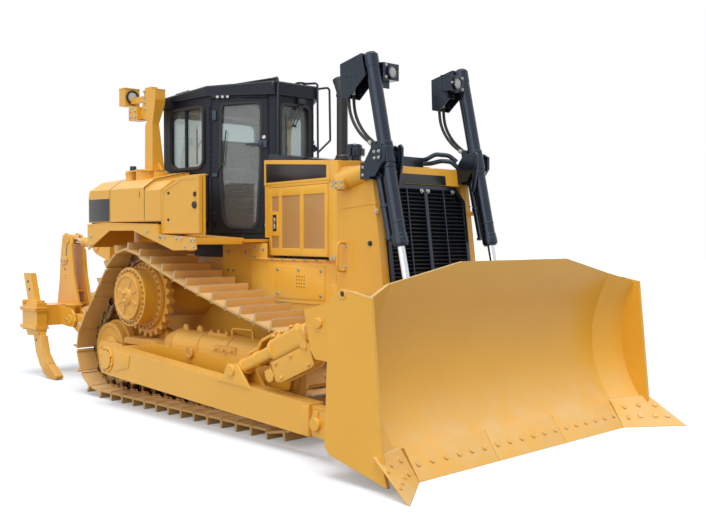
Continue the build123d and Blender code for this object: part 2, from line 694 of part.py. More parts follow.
bit = {"inner_low": (3393, 1362, 0), "inner_high": (3240, 1392, 219), "outer_high": (3395, 1800, 235),
       "tip": (half_length, blade_half_width, 0)}
edge_back = Vector(-30, 0, 8)
with BuildPart() as cutting_edge:
    side_plate([(3393, 0), (3240, 219), (3210, 206), (3352, 0)], (-1360, 1360))
    for side in (-1, 1):
        corner = {key: Vector(x, side * y, z) for key, (x, y, z) in bit.items()}
        for names in (("inner_low", "inner_high", "outer_high"), ("inner_low", "outer_high", "tip")):
            facet = Face(Wire.make_polygon([corner[key] for key in names]))
            extrude(facet, amount=edge_back.length, dir=edge_back.normalized())
write(cutting_edge, "cutting_edge")

# ---------------------------------------------------------------- push arms
arm_shape = [(-900, 400), (-850, 335), (-700, 322), (2345, 171), (2345, 424), (-640, 610), (-800, 606),
             (-900, 560)]
tip_shape = [(2335, 190), (2470, 190), (2550, 250), (2550, 350), (2470, 400), (2335, 410)]
with BuildPart() as trunnion_caps:
    for side in (-1, 1):
        cross_bar(arm_pivot, (side * (arm_y - 80), side * (arm_y - 50)), 84)
        cross_bar(arm_pivot, (side * (arm_y + 79), side * (arm_y + 98)), 94)
        cross_bar(arm_pivot, (side * (arm_y - 50), side * (arm_y + 79)), 70)
write(trunnion_caps, "trunnion_caps")

for name, side in SIDES:
    with BuildPart() as push_arm:
        side_plate(arm_shape, (side * (arm_y - arm_half), side * (arm_y + arm_half)))
        side_plate(tip_shape, (side * (arm_y - 45), side * (arm_y + 45)))
        cross_bar(arm_pivot, (side * (arm_y - 80), side * (arm_y + 80)), 86, Mode.SUBTRACT)
        ear = [(brace_eye[0] - 90, 460), (brace_eye[0] + 110, 460), (brace_eye[0] + 45, brace_eye[1] + 42),
               (brace_eye[0] - 35, brace_eye[1] + 42)]
        side_plate(ear, (side * (arm_y - 20), side * (arm_y + 20)))
    write(push_arm, f"push_arm_{name}")

brace_length = hypot(brace_top[0] - brace_eye[0], brace_top[1] - brace_eye[1])


def at_y(point, y):
    return (point[0], y, point[1])


def brace_section(distance, y, width, height, drop=0.0):
    """A rounded rectangle across the tilt cylinder's axis, a drop below it."""
    centre = at_y(along(brace_eye, brace_top, distance), y)
    axis = (brace_top[0] - brace_eye[0], 0, brace_top[1] - brace_eye[1])
    with BuildSketch(Plane(origin=centre, x_dir=(0, 1, 0), z_dir=axis)) as section:
        with Locations((0, -drop)):
            RectangleRounded(width, height, 0.3 * min(width, height))
    return section.sketch


# The barrel is a forked tube, a thicker sleeve, a head block and a guard plate below it.
for name, side in SIDES:
    y = side * arm_y
    with BuildPart() as tilt_barrel:
        for edge in (-1, 1):
            cross_bar(brace_eye, (y + edge * 26, y + edge * 58), 56)
            fork = brace_section(0, y + edge * 42, 32, 90)
            extrude(fork, amount=120)
        extrude(brace_section(100, y, 112, 104), amount=470)
        extrude(brace_section(550, y, 140, 184), amount=370)
        extrude(brace_section(905, y, 136, 216, 28), amount=80)
        extrude(brace_section(520, y, 100, 168, 176), amount=460)
        extrude(brace_section(390, y, 100, 84, 188), amount=140)
        extrude(brace_section(610, y, 66, 66), amount=376, mode=Mode.SUBTRACT)
    write(tilt_barrel, f"tilt_barrel_{name}")
    with BuildPart() as tilt_rod:
        rod_start = at_y(along(brace_eye, brace_top, 720), y)
        rod_end = at_y(along(brace_eye, brace_top, brace_length - 40), y)
        round_bar(rod_start, rod_end, 32)
        cross_bar(brace_top, (y - 32, y + 32), 60)
    write(tilt_rod, f"tilt_rod_{name}")

# ---------------------------------------------------------------- blade lift cylinders
lift_length = hypot(lift_eye[0] - lift_trunnion[0], lift_eye[1] - lift_trunnion[1])
lift_gland = 756
lift_barrel_top = -870
barrel_radius = 60
for name, side in SIDES:
    y = side * lift_y
    top = along(lift_trunnion, lift_eye, lift_barrel_top)
    gland = along(lift_trunnion, lift_eye, lift_gland)
    port = (lift_trunnion[0] - 110, lift_trunnion[1] + 90)
    with BuildPart() as lift_barrel:
        round_bar(at_y(top, y), at_y(gland, y), barrel_radius)
        round_bar(at_y(along(lift_trunnion, lift_eye, lift_gland - 90), y), at_y(gland, y),
                  barrel_radius + 5)
        round_bar(at_y(along(lift_trunnion, lift_eye, -70), y), at_y(along(lift_trunnion, lift_eye, 70), y),
                  72)
        cross_bar(lift_trunnion, (y - 118, y + 118), 42)
        round_bar(at_y(along(lift_trunnion, lift_eye, -700), y),
                  at_y(along(lift_trunnion, lift_eye, lift_gland + 1), y),
                  32, Mode.SUBTRACT)
        shade = [(top[0] - 40, top[1] + 14), (top[0] - 300, top[1] - 46), (top[0] - 290, top[1] - 330),
                 (top[0] - 205, top[1] - 350), (top[0] + 10, top[1] - 170)]
        hollow = [(top[0] + 30, top[1] + 0), (top[0] - 290, top[1] - 56), (top[0] - 280, top[1] - 400),
                  (top[0] - 205, top[1] - 400), (top[0] + 30, top[1] - 200)]
        side_plate(shade, (y - 74, y + 74))
        side_plate(hollow, (y - 66, y + 66), Mode.SUBTRACT)
        round_bar(at_y(top, y), at_y(along(lift_trunnion, lift_eye, -720), y), barrel_radius)
        block((port[0] - 20, port[0] + 43), (y - 56, y + 56), (port[1] - 28, port[1] + 28))
        inner = y - side * 60
        block((top[0] - 20, top[0] + 90), (inner, inner - side * 190), (top[1] - 200, top[1] - 60))
    write(lift_barrel, f"lift_barrel_{name}")
    with BuildPart() as lift_rod:
        round_bar(at_y(along(lift_trunnion, lift_eye, 190), y),
                  at_y(along(lift_trunnion, lift_eye, lift_length - 40), y), 31.9)
        cross_bar(lift_eye, (y - 30, y + 30), 56)
    write(lift_rod, f"lift_rod_{name}")

with BuildPart() as lift_yokes:
    for side in (-1, 1):
        y = side * lift_y
        for near, far in ((y - 112, y - 84), (y + 84, y + 112)):
            cheek = [(2170, 2210), (2290, 2210), (2380, 2330), (2380, 2440), (2330, 2470), (2240, 2440),
                     (2170, 2340)]
            side_plate(cheek, (near, far))
            cross_bar(lift_trunnion, (near - 1, far + 1), 42.1, Mode.SUBTRACT)
        block((2120, 2225), (y - 112, y + 112), (2190, 2330))
    guard_room = [(guard_rear, guard_foot[1]), (guard_foot[0] + 1, guard_foot[1]),
                  (guard_top[0] + 1, guard_top[1] + 1),
                  (guard_rear, guard_top[1] + 1)]
    side_plate(guard_room, (-guard_half - 1, guard_half + 1), Mode.SUBTRACT)
write(lift_yokes, "lift_yokes")

# Two hoses run from each cylinder's top tubes down to the ports above its trunnion.
hose_radius = 14
for name, side in SIDES:
    y = side * lift_y
    top = along(lift_trunnion, lift_eye, lift_barrel_top)
    with BuildPart() as lift_hoses:
        for offset in (-30, 30):
            points = [(top[0] - 236, y + offset, top[1] - 250), (top[0] - 240, y + offset, top[1] - 390),
                      (top[0] - 190, y + offset, top[1] - 540), (top[0] - 60, y + offset, top[1] - 690),
                      (lift_trunnion[0] - 131, y + offset, lift_trunnion[1] + 96)]
            with BuildLine():
                hose_path = FilletPolyline(*points, radius=150)
            with BuildSketch(Plane(origin=points[0],
                                   z_dir=Vector(*points[1]) - Vector(*points[0]))) as section:
                Circle(hose_radius)
            sweep(section.sketch, path=hose_path)
    write(lift_hoses, f"lift_hoses_{name}")

# ---------------------------------------------------------------- ripper
pin_radius = 40
with BuildPart() as ripper_bracket:
    for side in (-1, 1):
        low = [(rear_face, 540), (rear_face, 1000), (-2110, 720), (-2230, 690), (-2230, 540)]
        for inner in (600, 742):
            side_plate(low, (side * inner, side * (inner + 30)))
        cross_bar(ripper_low_pin, (side * 600, side * 772), pin_radius)
        horn = [(rear_face, 1240), (rear_face, 1750), (-2200, 1740), (-2560, 1680), (-2640, 1640),
                (-2650, 1560),
                (-2580, 1510), (-2200, 1400)]
        for inner in (tower_y - 90, tower_y + 60):
            side_plate(horn, (side * inner, side * (inner + 30)))
        high = [(rear_face, 1300), (rear_face, 1750), (-2200, 1740), (-2360, 1700), (-2360, 1480),
                (-2200, 1400)]
        for inner in (ripper_lift_y - 90, ripper_lift_y + 60):
            side_plate(high, (side * inner, side * (inner + 30)))
    block((rear_face - 60, rear_face), (-780, 780), (540, 1750))
write(ripper_bracket, "ripper_bracket")

with BuildPart() as ripper_drawframe:
    for side in (-1, 1):
        arm = [(-2080, 560), (-2080, 680), (-2150, 690), (-2870, 772), (-2950, 745), (-2960, 680),
               (-2930, 628),
               (-2740, 530), (-2440, 530), (-2150, 550)]
        side_plate(arm, (side * 640, side * 732))
    for side in (-1, 1):
        for inner in (ripper_lift_y - 62, ripper_lift_y + 40):
            lug = [(-2480, 534), (-2720, 534), (-2680, 730), (-2540, 730)]
            side_plate(lug, (side * inner, side * (inner + 22)))
    block((-2740, -2440), (-650, 650), (532, 590))
    for side in (-1, 1):
        for pin in (ripper_low_pin, ripper_beam_pin):
            cross_bar(pin, (side * 630, side * 740), pin_radius + 0.3, Mode.SUBTRACT)
write(ripper_drawframe, "ripper_drawframe")

with BuildPart() as ripper_pins:
    for side in (-1, 1):
        cross_bar(ripper_beam_pin, (side * 596, side * 776), pin_radius)
write(ripper_pins, "ripper_pins")

beam_rear = -3570
beam_front = -3200
tower_shape = [(beam_rear, 640), (beam_rear - 15, 880), (-3530, 1118), (-3480, 1492), (-3430, 1720),
               (-3350, 1760),
               (-3240, 1735), (-3190, 1640), (-3186, 1560), (-3135, 1223), (-3064, 989), (-2985,
                                                                                          800), (-2975,
                                                                                                 640)]
link_lug = [(beam_front - 20, 640), (-2900, 612), (-2810, 622), (-2770, 690), (-2800, 770), (-2900, 850),
            (beam_front - 20, 860)]
shank_lean = radians(19)
shank_top = (-3592, 1262)      # rear corner of the shank's leaning upper part
shank_width = 190


def up_shank(height, across, grow=0.0):
    """The (x, z) point of the leaning shank at a height, a share of its width across."""
    run = (shank_top[1] - height) * sin(shank_lean) / cos(shank_lean)
    x = shank_top[0] + run + across * (shank_width / cos(shank_lean) + 2 * grow) - grow
    return (x, height)


with BuildPart() as ripper_beam:
    block((beam_rear, beam_front), (-1000, 1000), (620, 870))
    block((-half_length, beam_rear + 1), (-220, 220), (640, 850))
    for side in (-1, 1):
        for inner in (tower_y - 90, tower_y + 60):
            side_plate(tower_shape, (side * inner, side * (inner + 30)))
        for inner in (600, 742):
            side_plate(link_lug, (side * inner, side * (inner + 30)))
    block((beam_rear, beam_front + 30), (-1065, -935), (560, 900))
    block((beam_rear - 20, beam_front + 45), (-1085, -925), (800, 826))
    block((beam_rear - 20, beam_front + 45), (-1085, -925), (600, 626))
    pocket = [up_shank(500, 0, 1), up_shank(500, 1, 1), up_shank(960, 1, 1), up_shank(960, 0, 1)]
    side_plate(pocket, (-1037, -963), Mode.SUBTRACT)
    for side in (-1, 1):
        cross_bar(ripper_beam_pin, (side * 590, side * 780), pin_radius + 0.3, Mode.SUBTRACT)
write(ripper_beam, "ripper_beam")

with BuildPart() as ripper_shank:
    shank = [up_shank(shank_top[1], 0), up_shank(shank_top[1], 1), up_shank(470, 1), (-3050, 290),
             (-2935, 172),
             (-2715, 42), (-2740, 12), (-2870, 10), (-3050, 62), (-3170, 150), (-3270, 300), up_shank(470,
                                                                                                      0)]
    side_plate(shank, (-1036, -964))
write(ripper_shank, "ripper_shank")

tower_reach = hypot(tower_pin[0] - tower_base_pin[0], tower_pin[1] - tower_base_pin[1])
with BuildPart() as ripper_tilt_barrels:
    for side in (-1, 1):
        y = side * tower_y
        round_bar(at_y(along(tower_base_pin, tower_pin, 30), y),
                  at_y(along(tower_base_pin, tower_pin, 480), y), 54)
        cross_bar(tower_base_pin, (y - 48, y + 48), 60)
        round_bar(at_y(along(tower_base_pin, tower_pin, 62), y),
                  at_y(along(tower_base_pin, tower_pin, 481), y), 30,
                  Mode.SUBTRACT)
write(ripper_tilt_barrels, "ripper_tilt_barrels")

with BuildPart() as ripper_tilt_rods:
    for side in (-1, 1):
        y = side * tower_y
        round_bar(at_y(along(tower_base_pin, tower_pin, 262), y),
                  at_y(along(tower_base_pin, tower_pin, tower_reach - 40), y), 29.9)
        cross_bar(tower_pin, (y - 48, y + 48), 55)
write(ripper_tilt_rods, "ripper_tilt_rods")

ripper_stroke_length = hypot(ripper_lift_eye[0] - ripper_lift_pin[0],
                             ripper_lift_eye[1] - ripper_lift_pin[1])
with BuildPart() as ripper_lift_barrels:
    for side in (-1, 1):
        y = side * ripper_lift_y
        round_bar(at_y(along(ripper_lift_pin, ripper_lift_eye, 30), y),
                  at_y(along(ripper_lift_pin, ripper_lift_eye, 660), y), 52)
        cross_bar(ripper_lift_pin, (y - 48, y + 48), 60)
        round_bar(at_y(along(ripper_lift_pin, ripper_lift_eye, 70), y),
                  at_y(along(ripper_lift_pin, ripper_lift_eye, 661), y), 28, Mode.SUBTRACT)
write(ripper_lift_barrels, "ripper_lift_barrels")

with BuildPart() as ripper_lift_rods:
    for side in (-1, 1):
        y = side * ripper_lift_y
        round_bar(at_y(along(ripper_lift_pin, ripper_lift_eye, 330), y),
                  at_y(along(ripper_lift_pin, ripper_lift_eye, ripper_stroke_length - 40), y), 27.9)
        cross_bar(ripper_lift_eye, (y - 30, y + 30), 50)
write(ripper_lift_rods, "ripper_lift_rods")
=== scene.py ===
# %% [markdown]
# # A crawler bulldozer
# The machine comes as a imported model: plain solids in metres, +X forward, +Y left, +Z up.
# Each solid already moves with its own body, such as "blade" or "cab_door_right".
# This lesson keeps those solids, paints them, and adds what a maker fits last: track
# shoes, bolts, pins, glass seals, lamps, rails, hoses and a seat.
# %% Load the machine
from math import atan2, cos, hypot, pi, radians, sin

import bmesh
import bpy
from mathutils import Matrix, Vector


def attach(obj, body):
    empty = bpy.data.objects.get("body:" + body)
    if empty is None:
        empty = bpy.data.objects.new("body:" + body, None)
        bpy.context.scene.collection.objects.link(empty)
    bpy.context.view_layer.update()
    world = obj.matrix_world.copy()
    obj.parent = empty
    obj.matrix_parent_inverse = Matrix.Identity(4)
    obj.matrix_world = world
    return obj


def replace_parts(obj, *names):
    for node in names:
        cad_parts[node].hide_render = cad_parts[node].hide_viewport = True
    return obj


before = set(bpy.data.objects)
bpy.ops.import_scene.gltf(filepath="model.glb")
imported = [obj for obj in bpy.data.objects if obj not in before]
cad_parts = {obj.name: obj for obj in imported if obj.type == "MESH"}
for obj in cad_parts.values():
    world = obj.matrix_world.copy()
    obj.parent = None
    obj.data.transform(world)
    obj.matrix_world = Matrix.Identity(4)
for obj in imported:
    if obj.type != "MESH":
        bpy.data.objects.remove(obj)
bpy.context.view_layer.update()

# %% [markdown]
# ## Camera, studio light and floor
# The camera stands low, off the front right corner, with a fairly long lens. One big
# soft sun from above, a wide weaker one from the camera's side and a pale world light
# the paint. A white studio is white because of its colour, so the floor and the world
# show white to camera, mirror and glass rays only, and add no light. The floor still
# takes a shadow, because its own lit colour is part of what the camera sees.
# %% Camera
scene = bpy.context.scene
scene.view_settings.view_transform = "Standard"
image_width = 706
focal_in_widths = 937.39 / image_width
camera_data = bpy.data.cameras.new("camera")
camera_data.lens = camera_data.sensor_width * focal_in_widths
camera_data.clip_end = 200
camera = bpy.data.objects.new("camera", camera_data)
scene.collection.objects.link(camera)
yaw, pitch = radians(136.222), radians(-1.76)
ahead = Vector((cos(yaw) * cos(pitch), sin(yaw) * cos(pitch), sin(pitch)))
camera.location = (7.749, -6.180, 1.7075)
camera.rotation_euler = ahead.to_track_quat("-Z", "Y").to_euler()
scene.camera = camera
print("lens", round(camera_data.lens, 1), "mm")


# %% One helper adds any node to any tree
def add_node(tree, kind, inputs=None, **settings):
    """A node with its settings and inputs set; an input is a value or another node's output."""
    node = tree.nodes.new(kind)
    for key, value in settings.items():
        setattr(node, key, value)
    for key, value in (inputs or {}).items():
        if isinstance(value, bpy.types.NodeSocket):
            tree.links.new(value, node.inputs[key])
        else:
            node.inputs[key].default_value = value
    return node


def seen_directly(tree):
    """1 for camera, mirror and glass rays, and 0 for the rays that light things."""
    path = add_node(tree, "ShaderNodeLightPath")
    mirror = add_node(tree, "ShaderNodeMath", {0: path.outputs["Is Camera Ray"],
                                               1: path.outputs["Is Glossy Ray"]}, operation="MAXIMUM")
    glass = add_node(tree, "ShaderNodeMath", {0: mirror.outputs[0],
                                              1: path.outputs["Is Transmission Ray"]}, operation="MAXIMUM")
    return glass.outputs[0]


# %% World, lamps and floor
world = bpy.data.worlds.new("studio")
scene.world = world
world.use_nodes = True
sky = world.node_tree
sky_light = 0.50
level = add_node(sky, "ShaderNodeMapRange", {"Value": seen_directly(sky), "To Min": sky_light,
                                             "To Max": 1.0})
sky.links.new(level.outputs[0], sky.nodes["Background"].inputs["Strength"])
sky.nodes["Background"].inputs["Color"].default_value = (1, 1, 1, 1)


def add_sun(name, strength, spread, elevation, azimuth):
    lamp = bpy.data.lights.new(name, "SUN")
    lamp.energy = strength
    lamp.angle = radians(spread)
    sun = bpy.data.objects.new(name, lamp)
    toward = Vector((cos(azimuth) * cos(elevation), sin(azimuth) * cos(elevation), sin(elevation)))
    sun.rotation_euler = toward.to_track_quat("Z", "Y").to_euler()
    scene.collection.objects.link(sun)


add_sun("overhead", 2.2, 40, radians(70), radians(-35))
add_sun("front_fill", 1.02, 60, radians(18), radians(-80))

floor_mesh = bpy.data.meshes.new("floor")
half_floor = 60
floor_mesh.from_pydata([(-half_floor, -half_floor, 0), (half_floor, -half_floor, 0),
                        (half_floor, half_floor, 0), (-half_floor, half_floor, 0)], [], [(0, 1, 2, 3)])
floor = bpy.data.objects.new("floor", floor_mesh)
scene.collection.objects.link(floor)
floor_paint = bpy.data.materials.new("floor")
floor_paint.use_nodes = True
tree = floor_paint.node_tree
# the floor looks pale but throws little light back up, so the undersides stay dark
tone = add_node(tree, "ShaderNodeMix", {0: seen_directly(tree), 6: (0.36, 0.38, 0.40, 1),
                                        7: (0.70, 0.75, 0.81, 1)}, data_type="RGBA")
tree.links.new(tone.outputs[2], tree.nodes["Principled BSDF"].inputs["Base Color"])
tree.nodes["Principled BSDF"].inputs["Roughness"].default_value = 0.9
tree.nodes["Principled BSDF"].inputs["Specular IOR Level"].default_value = 0.0
floor_lift = 0.22
lift = add_node(tree, "ShaderNodeMath", {0: seen_directly(tree), 1: floor_lift}, operation="MULTIPLY")
glow = add_node(tree, "ShaderNodeEmission", {"Strength": lift.outputs[0]})
both = add_node(tree, "ShaderNodeAddShader", {0: tree.nodes["Principled BSDF"].outputs[0],
                                              1: glow.outputs[0]})
tree.links.new(both.outputs[0], tree.nodes["Material Output"].inputs["Surface"])
floor_mesh.materials.append(floor_paint)
print("floor", 2 * half_floor, "m square")

# %% [markdown]
# ## Finishes
# Three effects are shared, so each is a node group. "Paint film" varies the colour a
# little over a hand's width and gives the orange peel of sprayed paint. The edge group
# rounds every edge in the shading, as a ground and painted plate edge is, and says
# where that edge is; each finish mixes a lighter colour in there, a painted highlight.
# The last group whitens faces that look up, as settled dust and as a painted sheen.
# The shader itself stays in each material, with its constants on its own sockets.
# %% Shared effects
def new_group(name, kind, inputs, outputs):
    """A node group with named sockets, and its input and output nodes."""
    group = bpy.data.node_groups.new(name, kind)
    for label, socket, value in inputs:
        made = group.interface.new_socket(label, in_out="INPUT", socket_type="NodeSocket" + socket)
        if value is not None:
            made.default_value = value
    for label, socket in outputs:
        group.interface.new_socket(label, in_out="OUTPUT", socket_type="NodeSocket" + socket)
    return group, group.nodes.new("NodeGroupInput"), group.nodes.new("NodeGroupOutput")


def mix_colours(tree, share, first, second):
    node = add_node(tree, "ShaderNodeMix", {0: share, 6: first, 7: second}, data_type="RGBA")
    return node.outputs[2]


def maths(tree, operation, first, second=0.0):
    return add_node(tree, "ShaderNodeMath", {0: first, 1: second}, operation=operation).outputs[0]


paint_film, given, result = new_group(
    "paint film", "ShaderNodeTree",
    [("Place", "Vector", None), ("Paint", "Color", None), ("Shade", "Color", None),
     ("Shade amount", "Float", 0.4), ("Roughness", "Float", 0.4), ("Peel size", "Float", 260.0)],
    [("Color", "Color"), ("Roughness", "Float"), ("Height", "Float")])
clouds = add_node(paint_film, "ShaderNodeTexNoise",
                  {"Vector": given.outputs["Place"], "Scale": 2.2, "Detail": 4.0})
amount = maths(paint_film, "MULTIPLY", clouds.outputs["Fac"], given.outputs["Shade amount"])
tone = mix_colours(paint_film, amount, given.outputs["Paint"], given.outputs["Shade"])
mottle = add_node(paint_film, "ShaderNodeTexNoise",
                  {"Vector": given.outputs["Place"], "Scale": 21.0, "Detail": 3.0})
gloss_change = add_node(paint_film, "ShaderNodeMapRange",
                        {"Value": mottle.outputs["Fac"], "To Min": -0.06, "To Max": 0.08})
rough = maths(paint_film, "ADD", given.outputs["Roughness"], gloss_change.outputs[0])
peel = add_node(paint_film, "ShaderNodeTexNoise",
                {"Vector": given.outputs["Place"], "Scale": given.outputs["Peel size"], "Detail": 1.0})
for output, socket in (("Color", tone), ("Roughness", rough), ("Height", peel.outputs["Fac"])):
    paint_film.links.new(socket, result.inputs[output])

# rounds the shading normal at every edge and masks where the edge is; the finishes mix a lighter colour in
# along that mask, a painted highlight
edge_highlight_group, given, result = new_group("bright edges", "ShaderNodeTree", [("Edge width", "Float", 0.006)],
                                        [("Mask", "Float"), ("Normal", "Vector")])
rounded = add_node(edge_highlight_group, "ShaderNodeBevel", {"Radius": given.outputs["Edge width"]}, samples=4)
flat = add_node(edge_highlight_group, "ShaderNodeNewGeometry")
match = add_node(edge_highlight_group, "ShaderNodeVectorMath", {0: rounded.outputs[0], 1: flat.outputs["Normal"]},
                 operation="DOT_PRODUCT")
off = maths(edge_highlight_group, "SUBTRACT", 1.0, match.outputs["Value"])
edge_mask = maths(edge_highlight_group, "MINIMUM", maths(edge_highlight_group, "MULTIPLY", off, 3.2), 1.0)
edge_highlight_group.links.new(edge_mask, result.inputs["Mask"])
edge_highlight_group.links.new(rounded.outputs[0], result.inputs["Normal"])

# pales faces that look up: settled dust, and a painted sheen of the light from above
dust_and_sheen_group, given, result = new_group("settled dust", "ShaderNodeTree",
                                        [("Place", "Vector", None), ("Amount", "Float", 0.2)],
                                        [("Mask", "Float")])
facing = add_node(dust_and_sheen_group, "ShaderNodeNewGeometry")
parts = add_node(dust_and_sheen_group, "ShaderNodeSeparateXYZ", {0: facing.outputs["Normal"]})
upward = maths(dust_and_sheen_group, "POWER", maths(dust_and_sheen_group, "MAXIMUM", parts.outputs["Z"], 0.0), 1.6)
drift = add_node(dust_and_sheen_group, "ShaderNodeTexNoise",
                 {"Vector": given.outputs["Place"], "Scale": 6.0, "Detail": 5.0})
patchy = add_node(dust_and_sheen_group, "ShaderNodeMapRange",
                  {"Value": drift.outputs["Fac"], "From Min": 0.35, "From Max": 0.7, "To Min": 0.4})
laid = maths(dust_and_sheen_group, "MULTIPLY", maths(dust_and_sheen_group, "MULTIPLY", upward, patchy.outputs[0]),
             given.outputs["Amount"])
dust_and_sheen_group.links.new(laid, result.inputs["Mask"])
print("groups", [g.name for g in (paint_film, edge_highlight_group, dust_and_sheen_group)])


# %% A painted or bare finish from the shared effects
def srgb(red, green, blue):
    """The shader's linear colour for a colour as a paint card gives it, 0 to 255."""
    return tuple((c / 255 / 12.92 if c < 11 else ((c / 255 + 0.055) / 1.055) ** 2.4)
                 for c in (red, green, blue)) + (1,)


dust_and_sheen_colour = srgb(214, 196, 160)


def place_group(tree, group, inputs):
    return add_node(tree, "ShaderNodeGroup", inputs, node_tree=group)


def coated(name, paint, shade, edge, roughness=0.38, shade_amount=0.45, dust_and_sheen=0.15, edge_width=0.006,
           metallic=0.0, coat=0.0, shine=0.5, glint=(255, 255, 255), peel_depth=0.00012, peel_size=260.0,
           painted_highlight_share=0.5, worn=None):
    """A finish with its film, a lighter colour along its edges as a painted highlight, and upward faces
    paled by dust and a painted sheen; worn is the colour under a "worn" attribute.
    """
    material = bpy.data.materials.new(name)
    material.use_nodes = True
    tree = material.node_tree
    body = tree.nodes["Principled BSDF"]
    place = add_node(tree, "ShaderNodeTexCoord").outputs["Object"]
    film = place_group(tree, paint_film, {"Place": place, "Paint": srgb(*paint), "Shade": srgb(*shade),
                                          "Shade amount": shade_amount, "Roughness": roughness,
                                          "Peel size": peel_size})
    edges = place_group(tree, edge_highlight_group, {"Edge width": edge_width})
    dust_and_sheen_mask = place_group(tree, dust_and_sheen_group, {"Place": place, "Amount": dust_and_sheen})
    # painted highlight: the edge colour is a lighter colour mixed in along the edges
    lit_edge = maths(tree, "MULTIPLY", edges.outputs["Mask"], painted_highlight_share)
    colour = mix_colours(tree, lit_edge, film.outputs["Color"], srgb(*edge))
    # dust and painted sheen: upward faces pale towards a dust colour
    colour = mix_colours(tree, dust_and_sheen_mask.outputs["Mask"], colour, dust_and_sheen_colour)
    if worn:
        rubbed = add_node(tree, "ShaderNodeAttribute", attribute_name="worn")
        scratches = add_node(tree, "ShaderNodeTexNoise", {"Vector": place, "Scale": 14.0, "Detail": 6.0})
        bare = maths(tree, "MULTIPLY", rubbed.outputs["Fac"],
                     maths(tree, "MULTIPLY", scratches.outputs["Fac"], 1.7))
        bare = maths(tree, "MINIMUM", bare, 1.0)
        colour = mix_colours(tree, bare, colour, srgb(*worn))
        tree.links.new(maths(tree, "MULTIPLY", bare, 0.55), body.inputs["Metallic"])
    else:
        body.inputs["Metallic"].default_value = metallic
    tree.links.new(colour, body.inputs["Base Color"])
    tree.links.new(film.outputs["Roughness"], body.inputs["Roughness"])
    bump = add_node(tree, "ShaderNodeBump", {"Height": film.outputs["Height"],
                                             "Normal": edges.outputs["Normal"], "Distance": peel_depth,
                                             "Strength": 0.6})
    tree.links.new(bump.outputs[0], body.inputs["Normal"])
    body.inputs["Specular IOR Level"].default_value = shine
    body.inputs["Specular Tint"].default_value = srgb(*glint)
    body.inputs["Coat Weight"].default_value = coat
    body.inputs["Coat Roughness"].default_value = 0.12
    return material


# each finish: its paint, a second tone it drifts towards at random, and a lighter colour painted along its
# edges as a highlight
yellow = coated("yellow_paint", (236, 176, 54), (212, 148, 36), (250, 218, 150),
                dust_and_sheen=0.28, coat=0.15)
# painted light: a lighter copy of the yellow paint for the hood, its doors, frames and lower covers and the
# main frame, lifting their shaded sides
hood_paint = coated("hood_paint", (249, 190, 68), (234, 170, 52), (255, 228, 168),
                    dust_and_sheen=0.6, coat=0.15)
# a strong amount pales the blade's upward-facing lower face, as dust and as painted sheen
blade_paint = coated("blade_paint", (236, 176, 54), (214, 150, 38), (250, 222, 160),
                     dust_and_sheen=0.95, coat=0.1)
yellow_cast = coated("yellow_cast_iron", (224, 166, 66), (196, 138, 48), (246, 210, 146),
                     roughness=0.5, peel_depth=0.0012, peel_size=90.0, dust_and_sheen=0.25)
yellow_mesh = coated("yellow_mesh", (222, 174, 112), (204, 152, 84), (240, 205, 140),
                     edge_width=0.002)
track_paint = coated("track_paint", (232, 180, 92), (190, 140, 72), (248, 224, 176),
                     roughness=0.55, shade_amount=0.9, dust_and_sheen=0.6, worn=(176, 166, 150), peel_depth=0.0008,
                     peel_size=70.0)
track_iron = coated("track_iron", (196, 144, 70), (134, 98, 54), (226, 196, 146),
                    roughness=0.6, shade_amount=1.0, dust_and_sheen=0.3, worn=(150, 140, 124))
cab_paint = coated("cab_paint", (27, 29, 35), (20, 22, 27), (104, 112, 124), roughness=0.42,
                   dust_and_sheen=0.10, shine=0.27, glint=(225, 238, 255), painted_highlight_share=0.35)
black_paint = coated("black_gloss", (20, 25, 34), (14, 18, 26), (120, 136, 158),
                     roughness=0.2, dust_and_sheen=0.05, shine=0.62, glint=(210, 230, 255), painted_highlight_share=0.3)
grille_paint = coated("grille_black", (24, 29, 37), (17, 20, 27), (92, 100, 112),
                      roughness=0.35, dust_and_sheen=0.04, shine=0.30, glint=(205, 226, 255))
chrome = coated("chrome", (214, 218, 222), (196, 200, 206), (240, 240, 240), roughness=0.12,
                metallic=1.0, shade_amount=0.3, dust_and_sheen=0.0, peel_depth=0.0, edge_width=0.002)
zinc = coated("zinc_bolts", (186, 184, 176), (150, 146, 136), (230, 230, 224), roughness=0.35,
              metallic=0.8, edge_width=0.002)
iron = coated("engine_iron", (90, 84, 72), (58, 54, 48), (150, 140, 120),
              roughness=0.6, dust_and_sheen=0.3)
soot = coated("exhaust_steel", (36, 38, 44), (48, 46, 48), (110, 108, 104), roughness=0.45,
              metallic=0.4, shade_amount=0.8)
rubber = coated("hose_rubber", (28, 29, 31), (44, 44, 44), (70, 70, 70), roughness=0.6,
                dust_and_sheen=0.15, peel_depth=0.0006, peel_size=180.0)
plastic = coated("console_plastic", (58, 60, 64), (44, 46, 50), (104, 106, 110),
                 roughness=0.5, peel_depth=0.0004, peel_size=420.0)
stripe = coated("stripe_panel", (20, 18, 21), (28, 25, 28), (104, 92, 80), roughness=0.3,
                dust_and_sheen=0.06, coat=0.12)
print("finishes", len(bpy.data.materials))

